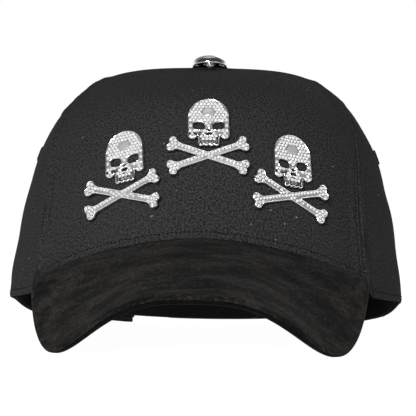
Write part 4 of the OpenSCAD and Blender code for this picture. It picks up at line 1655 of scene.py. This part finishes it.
@dataclass
class Charms:
    """Cast plates with a raised rim, filled with set stones."""

    form: CrownForm
    stance: Stance
    places: Sequence[CharmPlace] = CHARMS
    gap: float = 0.3
    plate_t: float = 1.1
    rim_r: float = 0.25
    rim_inset: float = 0.3
    pitch: float = 1.5
    stone: float = 1.42
    stone_h: float = 0.62
    brow_t: float = 0.5

    def _plate(
        self, name: str, node: str, loops: Sequence[np.ndarray], place: Matrix, rim: Material, bed: Material
    ) -> None:
        """Build one plate with its rim.

        Args:
            name: Name of the piece.
            node: CAD node that it stands for.
            loops: Its outline and holes.
            place: Its place on the crown.
            rim: Material of the walls and the rim.
            bed: Material between the stones.
        """
        t = self.plate_t
        rings = [(0.12, 0), (0, 0.12), (0, t - 0.22), (0.05, t - 0.08), (0.14, t - 0.02), (0.26, t)]
        points, faces, below = flat_plate(name, loops, rings)
        lift = np.array([0, 0, self.gap])
        plate = mesh_piece(name, np.array([place @ Vector(p + lift) for p in points]), faces, smooth_angle=40)
        plate.data.materials.append(rim)
        plate.data.materials.append(bed)
        index = np.zeros(len(faces), np.int32)
        index[below:] = 1
        plate.data.polygons.foreach_set("material_index", index)
        face_outwards(plate)
        hang(plate, None, CAP, [node])
        wires = []
        a = np.linspace(0, 2 * math.pi, 8, endpoint=False)
        for loop in loops:
            middle = inset_loop(loop, self.rim_inset)
            side = inset_loop(loop, self.rim_inset + 1) - middle
            flat = middle[:, None] + side[:, None] * (self.rim_r * np.cos(a))[None, :, None]
            rise = self.gap + t + 0.04 + self.rim_r * 1.15 * np.sin(a)
            high = np.broadcast_to(rise[None, :, None], flat.shape[:2] + (1,))
            ring = np.concatenate([flat, high], -1).reshape(-1, 3)
            points = np.array([place @ Vector(p) for p in ring])
            wires.append(face_outwards(mesh_piece("wire", points, sweep_faces(len(loop), 8, True))))
        hang(join_meshes(name + "_rim", wires), rim)

    def _spots(
        self, shape: Field, frames: Sequence[Callable], half: tuple[float, float], keep: float
    ) -> np.ndarray:
        """Places for stones inside a shape.

        Args:
            shape: Distance field.
            frames: Functions that turn row coordinates into the shape's coordinates.
            half: Half the length and height of the searched area.
            keep: Least distance from the edge.

        Returns:
            Points in the plate's plane.
        """
        found: list[np.ndarray] = []
        for turn in frames:
            for row, v in enumerate(np.arange(-half[1], half[1] + 0.01, self.pitch * 0.92)):
                for u in np.arange(-half[0], half[0] + 0.01, self.pitch):
                    p = np.array(turn(u + self.pitch / 2 * (row % 2), v))
                    clear = all(np.hypot(*(p - q)) > self.pitch * 0.86 for q in found)
                    if clear and shape(p[0], p[1]) < -keep:
                        found.append(p)
        return np.array(found)

    def build(self, metal: Material, bed: Material, polish: Material, stone: Material) -> None:
        """Build the plates, rims, stones and brow plates of all the charms."""
        skull = outline_loops(skull_field, 10.5, -12.8, 13.6)
        bones = outline_loops(bones_field, 19.5, -10.5, 10.5)
        c, s = math.cos(math.radians(20)), math.sin(math.radians(20))
        ways = [lambda u, v: (u * c - v * s, u * s + v * c), lambda u, v: (u * c + v * s, v * c - u * s)]
        stoned = lambda x, y: cut_from(skull_field(x, y), brow_field(x, y) + 0.1, 0.01)
        skull_spots = self._spots(stoned, [lambda u, v: (u, v)], (9.0, 12.42), 0.66)
        bone_spots = self._spots(bones_field, ways, (18.0, 3.75), 0.66)
        brow = outline_loops(brow_field, 3.5, 2, 9, 0.08)
        for place in self.places:
            at_skull = self.form.placement(*place.skull, self.stance)
            at_bones = self.form.placement(*place.bones, self.stance)
            for part, loops, spot in (("_skull", skull, at_skull), ("_bones", bones, at_bones)):
                name = place.name + part
                self._plate(name + "_casting", name + "_plate", loops, spot, metal, bed)
            z = self.gap + self.plate_t
            rings = [(0, -0.15), (0, 0.3), (0.06, 0.44), (0.2, 0.5)]
            points, faces, _ = flat_plate("brow", brow, [(i, z + h * self.brow_t / 0.5) for i, h in rings])
            placed = np.array([at_skull @ Vector(p) for p in points])
            plate = mesh_piece(place.name + "_brow", placed, faces, smooth_angle=35)
            hang(face_outwards(plate), polish, CAP, [place.name + "_brow_plate"])
            spots, along, up = [], [], []
            for matrix, places in ((at_skull, skull_spots), (at_bones, bone_spots)):
                flat = matrix.to_3x3().normalized()
                for x, y in places:
                    spots.append(matrix @ Vector((x, y, z + self.stone_h / 2 - 0.08)))
                    along.append(flat @ Vector((1, 0, 0)))
                    up.append(flat @ Vector((0, 0, 1)))
            seed = 21 + len(place.name)
            setting = Repeat(Shape.STONE, self.stone, self.stone, self.stone_h, 0.13, math.pi, seed)
            sets = [np.array(rows) for rows in (spots, along, up)]
            stones = setting.build(place.name + "_stones", *sets, stone)
            hang(stones, None)


# ---------------------------------------------------------------------------------------------
# Straps
# ---------------------------------------------------------------------------------------------


@dataclass
class Straps:
    """The size straps at the back: one with holes, one with pegs, each sewn on by a tab."""

    stance: Stance
    ring_y: float = 3.9
    hole_ring_r: float = 91.2
    peg_ring_r: float = 89.6
    lean: float = 1.9
    base: float = 3.0
    height: float = 20.0
    thick: float = 1.2
    tip: float = 19.6
    tab_end: float = 32.6
    bend: float = 21.7
    pegs: int = 7
    peg_pitch: float = 5.5
    hole_r: float = 2.9
    peg_r: float = 2.2

    def _on_ring(self, ring_r: float, u: np.ndarray, v: np.ndarray, w: np.ndarray) -> np.ndarray:
        """Bend flat strap coordinates round the ring: u along, v up from the middle, w outwards."""
        z = self.base + self.height / 2 + v
        r = ring_r - self.lean * (z - self.base) / self.height + w
        a = u / ring_r
        return np.stack([r * np.sin(a), self.ring_y + r * np.cos(a), z], -1)

    def _strip(self, name: str, ring_r: float, side: float, holes: bool) -> tuple[Object, float]:
        """Build a strap and its tab as one moulding.

        Args:
            name: Name of the piece.
            ring_r: Radius of its outer face at its lower edge.
            side: 1 where the tab is on the wearer's left.
            holes: True for the strap with holes.

        Returns:
            The piece, and millimetres along the ring for each degree.
        """
        per = ring_r * math.pi / 180
        start, end = -self.tip * per, self.tab_end * per
        middle, half = (start + end) / 2, (end - start) / 2
        h = self.height / 2

        def shape(x: np.ndarray, y: np.ndarray) -> np.ndarray:
            """The flat strap: a round free end, a square sewn end, and its holes."""
            u = x * side
            d = box_field(u - middle, y, half, h, 1.2)
            nose = np.hypot(u - start - h, y) - h
            d = np.where(u < start + h, nose, d)
            if holes:
                for k in range(self.pegs):
                    at = (k - (self.pegs - 1) / 2) * self.peg_pitch * per
                    d = np.maximum(d, self.hole_r - np.hypot(u - at, y))
            return d

        loops = outline_loops(shape, self.tab_end * per + 2, -h - 1, h + 1, 0.25)
        t = self.thick
        rings = [(0.3, -t), (0.08, -t + 0.08), (0, -t + 0.3), (0, -0.3), (0.08, -0.08), (0.3, 0)]
        points, faces, _ = flat_plate(name, loops, rings)
        work = bmesh.new()
        made = [work.verts.new(p) for p in points]
        for f in faces:
            work.faces.new([made[i] for i in f])
        bmesh.ops.recalc_face_normals(work, faces=work.faces)
        for at in np.arange(-self.tab_end * per + 1, self.tab_end * per, 1.4):
            parts = work.verts[:] + work.edges[:] + work.faces[:]
            bmesh.ops.bisect_plane(work, geom=parts, plane_co=(at, 0, 0), plane_no=(1, 0, 0), dist=0.02)
        for at in (-7.9, 7.9):
            parts = work.verts[:] + work.edges[:] + work.faces[:]
            bmesh.ops.bisect_plane(work, geom=parts, plane_co=(0, at, 0), plane_no=(0, 1, 0), dist=0.02)
        for v in work.verts:
            ridge = 0.22 * math.exp(-(((abs(v.co.y) - 7.9) / 0.5) ** 2)) if v.co.z > -0.35 else 0.0
            p = self._on_ring(ring_r, np.array(v.co.x), np.array(v.co.y), np.array(v.co.z + ridge))
            v.co = Vector(self.stance.points(p))
        mesh = bpy.data.meshes.new(name)
        work.to_mesh(mesh)
        work.free()
        mesh.shade_smooth()
        mesh.set_sharp_from_angle(angle=math.radians(40))
        return make_object(name, mesh), per

    def _peg_row(self) -> list[Object]:
        """Turn the pegs: short mushroom studs."""
        out = []
        reach = 0.4 + self.thick + 0.5
        for k in range(self.pegs):
            a = math.radians((k - (self.pegs - 1) / 2) * self.peg_pitch)
            mid_r = self.peg_ring_r - self.lean / 2
            middle_z = self.base + self.height / 2
            seat = np.array([mid_r * math.sin(a), self.ring_y + mid_r * math.cos(a), middle_z])
            tip_back = -math.pi / 2 + math.atan(self.lean / self.height)
            turn = Matrix.Rotation(-a, 4, "Z") @ Matrix.Rotation(tip_back, 4, "X")
            tip = Matrix.Rotation(-self.stance.tilt, 4, "X")
            place = Matrix.Translation(Vector(self.stance.points(seat))) @ tip @ turn @ Matrix.Scale(MM, 4)
            r = self.peg_r
            profile = [(0, -0.5), (r - 0.3, -0.5), (r - 0.3, 0.1), (r - 0.45, 0.5)]
            profile += [(r - 0.3, reach - 0.75), (r, reach - 0.5)]
            profile += [(r, reach - 0.25), (r - 0.2, reach - 0.06), (r - 0.6, reach), (0, reach - 0.12)]
            out.append(lathe("peg", profile, place, 28))
        return out

    def _bend_ends(self, ring_r: float, side: float, spread: float = 2.2) -> list[Vector]:
        """Points on the sewn side and the free side of a strap's bend."""
        out = []
        for angle in (self.bend + spread, self.bend - spread):
            a = math.radians(angle * side)
            middle_z = self.base + self.height / 2
            p = np.array([ring_r * math.sin(a), self.ring_y + ring_r * math.cos(a), middle_z])
            out.append(Vector(self.stance.points(p)))
        return out

    def build(self, plastic: Material, thread: Material) -> None:
        """Build both straps and sew down their tabs."""
        holes, per = self._strip("hole_strap_moulding", self.hole_ring_r, 1.0, True)
        pegs, _ = self._strip("peg_strap_strip", self.peg_ring_r, -1.0, False)
        pegs = join_meshes("peg_strap_moulding", [pegs, *self._peg_row()])
        for piece, body, ring_r, side, nodes in (
            (holes, OUTER_STRAP, self.hole_ring_r, 1.0, ("hole_strap", "hole_strap_tab")),
            (pegs, INNER_STRAP, self.peg_ring_r, -1.0, ("peg_strap", "peg_strap_tab")),
        ):
            start, end = self._bend_ends(ring_r, side)
            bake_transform(piece)
            hang(piece, plastic, "", nodes)
        row = Sewing("strap_stitching", self.stance, thread, Repeat(Shape.STITCH, 1.9, 0.5, 0.4))
        for ring_r, side in ((self.hole_ring_r, 1.0), (self.peg_ring_r, -1.0)):
            low, high = 25.6 * per * side, (self.tab_end - 1.2) * per * side
            corners = [(low, -8.4), (high, -8.4), (high, 8.4), (low, 8.4), (low, -8.4)]
            for (u0, v0), (u1, v1) in zip(corners, corners[1:]):
                u, v = np.linspace(u0, u1, 30), np.linspace(v0, v1, 30)
                p = self._on_ring(ring_r, u, v, np.full(30, 0.1))
                row.add(p, self._on_ring(ring_r, u, v, np.full(30, 1.1)) - p, 2.3)
        row.build("eyelet_thread")


# ---------------------------------------------------------------------------------------------
# Button
# ---------------------------------------------------------------------------------------------


@dataclass
class Button:
    """The polished button on top, riveted through the crown."""

    form: CrownForm
    stance: Stance
    lift: float = 0.3
    radius: float = 8.5
    height: float = 5.1

    def build(self, chrome: Material, metal: Material) -> None:
        """Turn the button and finish its rivet and washer."""
        base = np.array([0.0, self.form.apex_y, self.form.height + self.lift])
        tip = Matrix.Rotation(-self.stance.tilt, 4, "X")
        place = Matrix.Translation(Vector(self.stance.points(base))) @ tip @ Matrix.Scale(MM, 4)
        r, h = self.radius, self.height
        profile = [(0, 0.25), (r - 1.2, 0.25), (r - 0.8, 0.0), (r - 0.25, 0.0)]
        profile += [(r - 0.03, 0.3), (r, 0.75), (r - 0.08, 1.2)]
        for a in np.linspace(8, 90, 16):
            k = math.radians(a)
            across = (r - 0.15) * math.cos(k) ** 0.72 if a < 90 else 0.0
            profile.append((across, 1.35 + (h - 1.35) * math.sin(k)))
        piece = lathe("chrome_button", profile, place, 96)
        hang(piece, chrome, CAP, ["top_button"])
        for node in ("button_rivet", "button_washer", "charm_posts", "charm_clasps"):
            dress_node(node, metal)


# ---------------------------------------------------------------------------------------------
# Studio
# ---------------------------------------------------------------------------------------------


@dataclass(frozen=True)
class SoftBox:
    """A square studio light."""

    name: str
    place: tuple[float, float, float]
    size: float
    power: float


SOFT_BOXES = (
    SoftBox("key", (-0.36, -1.75, 0.62), 0.6, 50.0),
    SoftBox("fill", (1.3, -1.3, 0.6), 1.0, 0.8),
    SoftBox("overhead", (-0.1, 0.1, 1.7), 1.1, 1.5),
    SoftBox("rear", (0.6, 1.7, 1.1), 1.0, 5.0),
)


@dataclass
class Studio:
    """Plain pale floor, soft light and the camera."""

    place: tuple[float, float, float] = (0.022, -0.6674, 0.0449)
    lens: float = 130.2
    shift: tuple[float, float] = (0.0026, 0.0505)
    yaw: float = math.radians(1.8)
    roll: float = math.radians(0.7)
    pitch: float = math.radians(0.3)
    overhead: float = 0.3
    in_front: float = 0.16

    def camera(self) -> None:
        """Set up the camera."""
        data = bpy.data.cameras.new("camera")
        data.lens = self.lens
        data.sensor_width = 36.0
        data.shift_x, data.shift_y = self.shift
        data.clip_end = 50.0
        cam = bpy.data.objects.new("camera", data)
        bpy.context.scene.collection.objects.link(cam)
        turn = (
            Matrix.Rotation(self.pitch, 4, "X")
            @ Matrix.Rotation(self.yaw, 4, "Z")
            @ Matrix.Rotation(math.pi / 2, 4, "X")
            @ Matrix.Rotation(self.roll, 4, "Z")
        )
        cam.matrix_world = Matrix.Translation(self.place) @ turn
        bpy.context.scene.camera = cam

    def lights(self) -> None:
        """Hang the soft boxes, aimed at the cap."""
        for box in SOFT_BOXES:
            data = bpy.data.lights.new(box.name, "AREA")
            data.size = box.size
            data.energy = box.power
            lamp = bpy.data.objects.new(box.name, data)
            bpy.context.scene.collection.objects.link(lamp)
            aim = Vector((0, 0, 0.06)) - Vector(box.place)
            turn = aim.to_track_quat("-Z", "Y").to_matrix().to_4x4()
            lamp.matrix_world = Matrix.Translation(box.place) @ turn

    def floor(self) -> None:
        """Lay the floor and set the pale surroundings."""
        p = Paint("floor_paper")
        p.set(Base_Color=grey(0.2), Roughness=0.9, Specular_IOR_Level=0.0)
        p.set(Emission_Color=grey(1.0), Emission_Strength=0.98)
        size = 8.0
        corners = np.array([[-size, -size, 0], [size, -size, 0], [size, size, 0], [-size, size, 0]])
        floor = mesh_piece("floor", corners, [(0, 1, 2, 3)])
        floor.data.materials.append(p.material)
        world = bpy.data.worlds.new("surroundings")
        world.use_nodes = True
        self._sky(world.node_tree)
        bpy.context.scene.world = world
        bpy.context.scene.view_settings.view_transform = "Standard"

    def _sky(self, tree: bpy.types.NodeTree) -> None:
        """Make the surroundings white at the horizon behind the cap, and dimmer overhead and in front."""
        new, link = tree.nodes.new, tree.links.new
        way, axes, both = new("ShaderNodeTexCoord"), new("ShaderNodeSeparateXYZ"), new("ShaderNodeMath")
        both.operation = "MULTIPLY"
        link(way.outputs["Generated"], axes.inputs[0])
        fades = (("Z", 0.5, 0.22, self.overhead), ("Y", -0.1, 0.6, self.in_front))
        for slot, (axis, start, stop, low) in enumerate(fades):
            ramp = new("ShaderNodeMapRange")
            ramp.interpolation_type = "SMOOTHSTEP"
            for socket, value in (("From Min", start), ("From Max", stop), ("To Min", low), ("To Max", 1.0)):
                ramp.inputs[socket].default_value = value
            link(axes.outputs[axis], ramp.inputs["Value"])
            link(ramp.outputs[0], both.inputs[slot])
        link(both.outputs[0], tree.nodes["Background"].inputs["Strength"])
        tree.nodes["Background"].inputs["Color"].default_value = grey(1.0)


# ---------------------------------------------------------------------------------------------
# The whole
# ---------------------------------------------------------------------------------------------


def main() -> None:
    """Build the cap round its frame."""
    logging.basicConfig(level=logging.INFO, format="%(name)s: %(message)s")
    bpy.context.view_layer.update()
    studio = Studio()
    studio.camera()
    form, stance = CrownForm(), Stance()
    cloth = Twill("panel_twill").paint()
    thread = Thread("sewing_thread").paint()
    # The tape keeps Tape's very dark default tone, painted shade for the cap's inside, which the arch binding
    # also carries.
    tape = Tape("seam_tape_weave").paint()
    suede = Suede("visor_suede_nap").paint()
    metal = Metal("charm_plating").paint()
    dark_metal = Metal("stone_bed", 0.3, 0.3, metallic=0.5).paint()
    chrome = Metal("button_chrome_plating", 0.86, 0.04).paint()
    plastic = Plastic("strap_moulding").paint()

    crown = Crown(form, stance)
    crown.panels(cloth)
    buckram = Tape("buckram_weave", 0.003, 0.0016, 0.0).paint()
    crown.lining(buckram, tape, Tape("label_weave", 0.5, 0.0005).paint())
    # The sweatband cloth is darkened far below the outer twill: painted shade for the inside of the band.
    crown.sweatband(Tape("sweatband_twill", 0.002, 0.0008, 0.0).paint(), thread)
    crown.sewing(thread)
    crown.eyelet_rings(Thread("eyelet_thread", 0.012).paint())
    crown.binding(tape, thread)
    # The under suede is the top suede at a fifth of its tone: painted shade for the visor's underside and its
    # edge cord.
    under, board = Suede("visor_under_nap", 0.003).paint(), Plastic("board_plastic", 0.02, 0.6).paint()
    Visor(VisorForm(form), stance).build(suede, under, board)
    polish = Metal("brow_polish", 0.62, 0.14, metallic=0.6).paint()
    Charms(form, stance).build(metal, dark_metal, polish, Crystal("cut_stones").paint())
    Straps(stance).build(plastic, thread)
    Button(form, stance).build(chrome, metal)

    studio.lights()
    studio.floor()


if __name__ == "__main__":
    main()
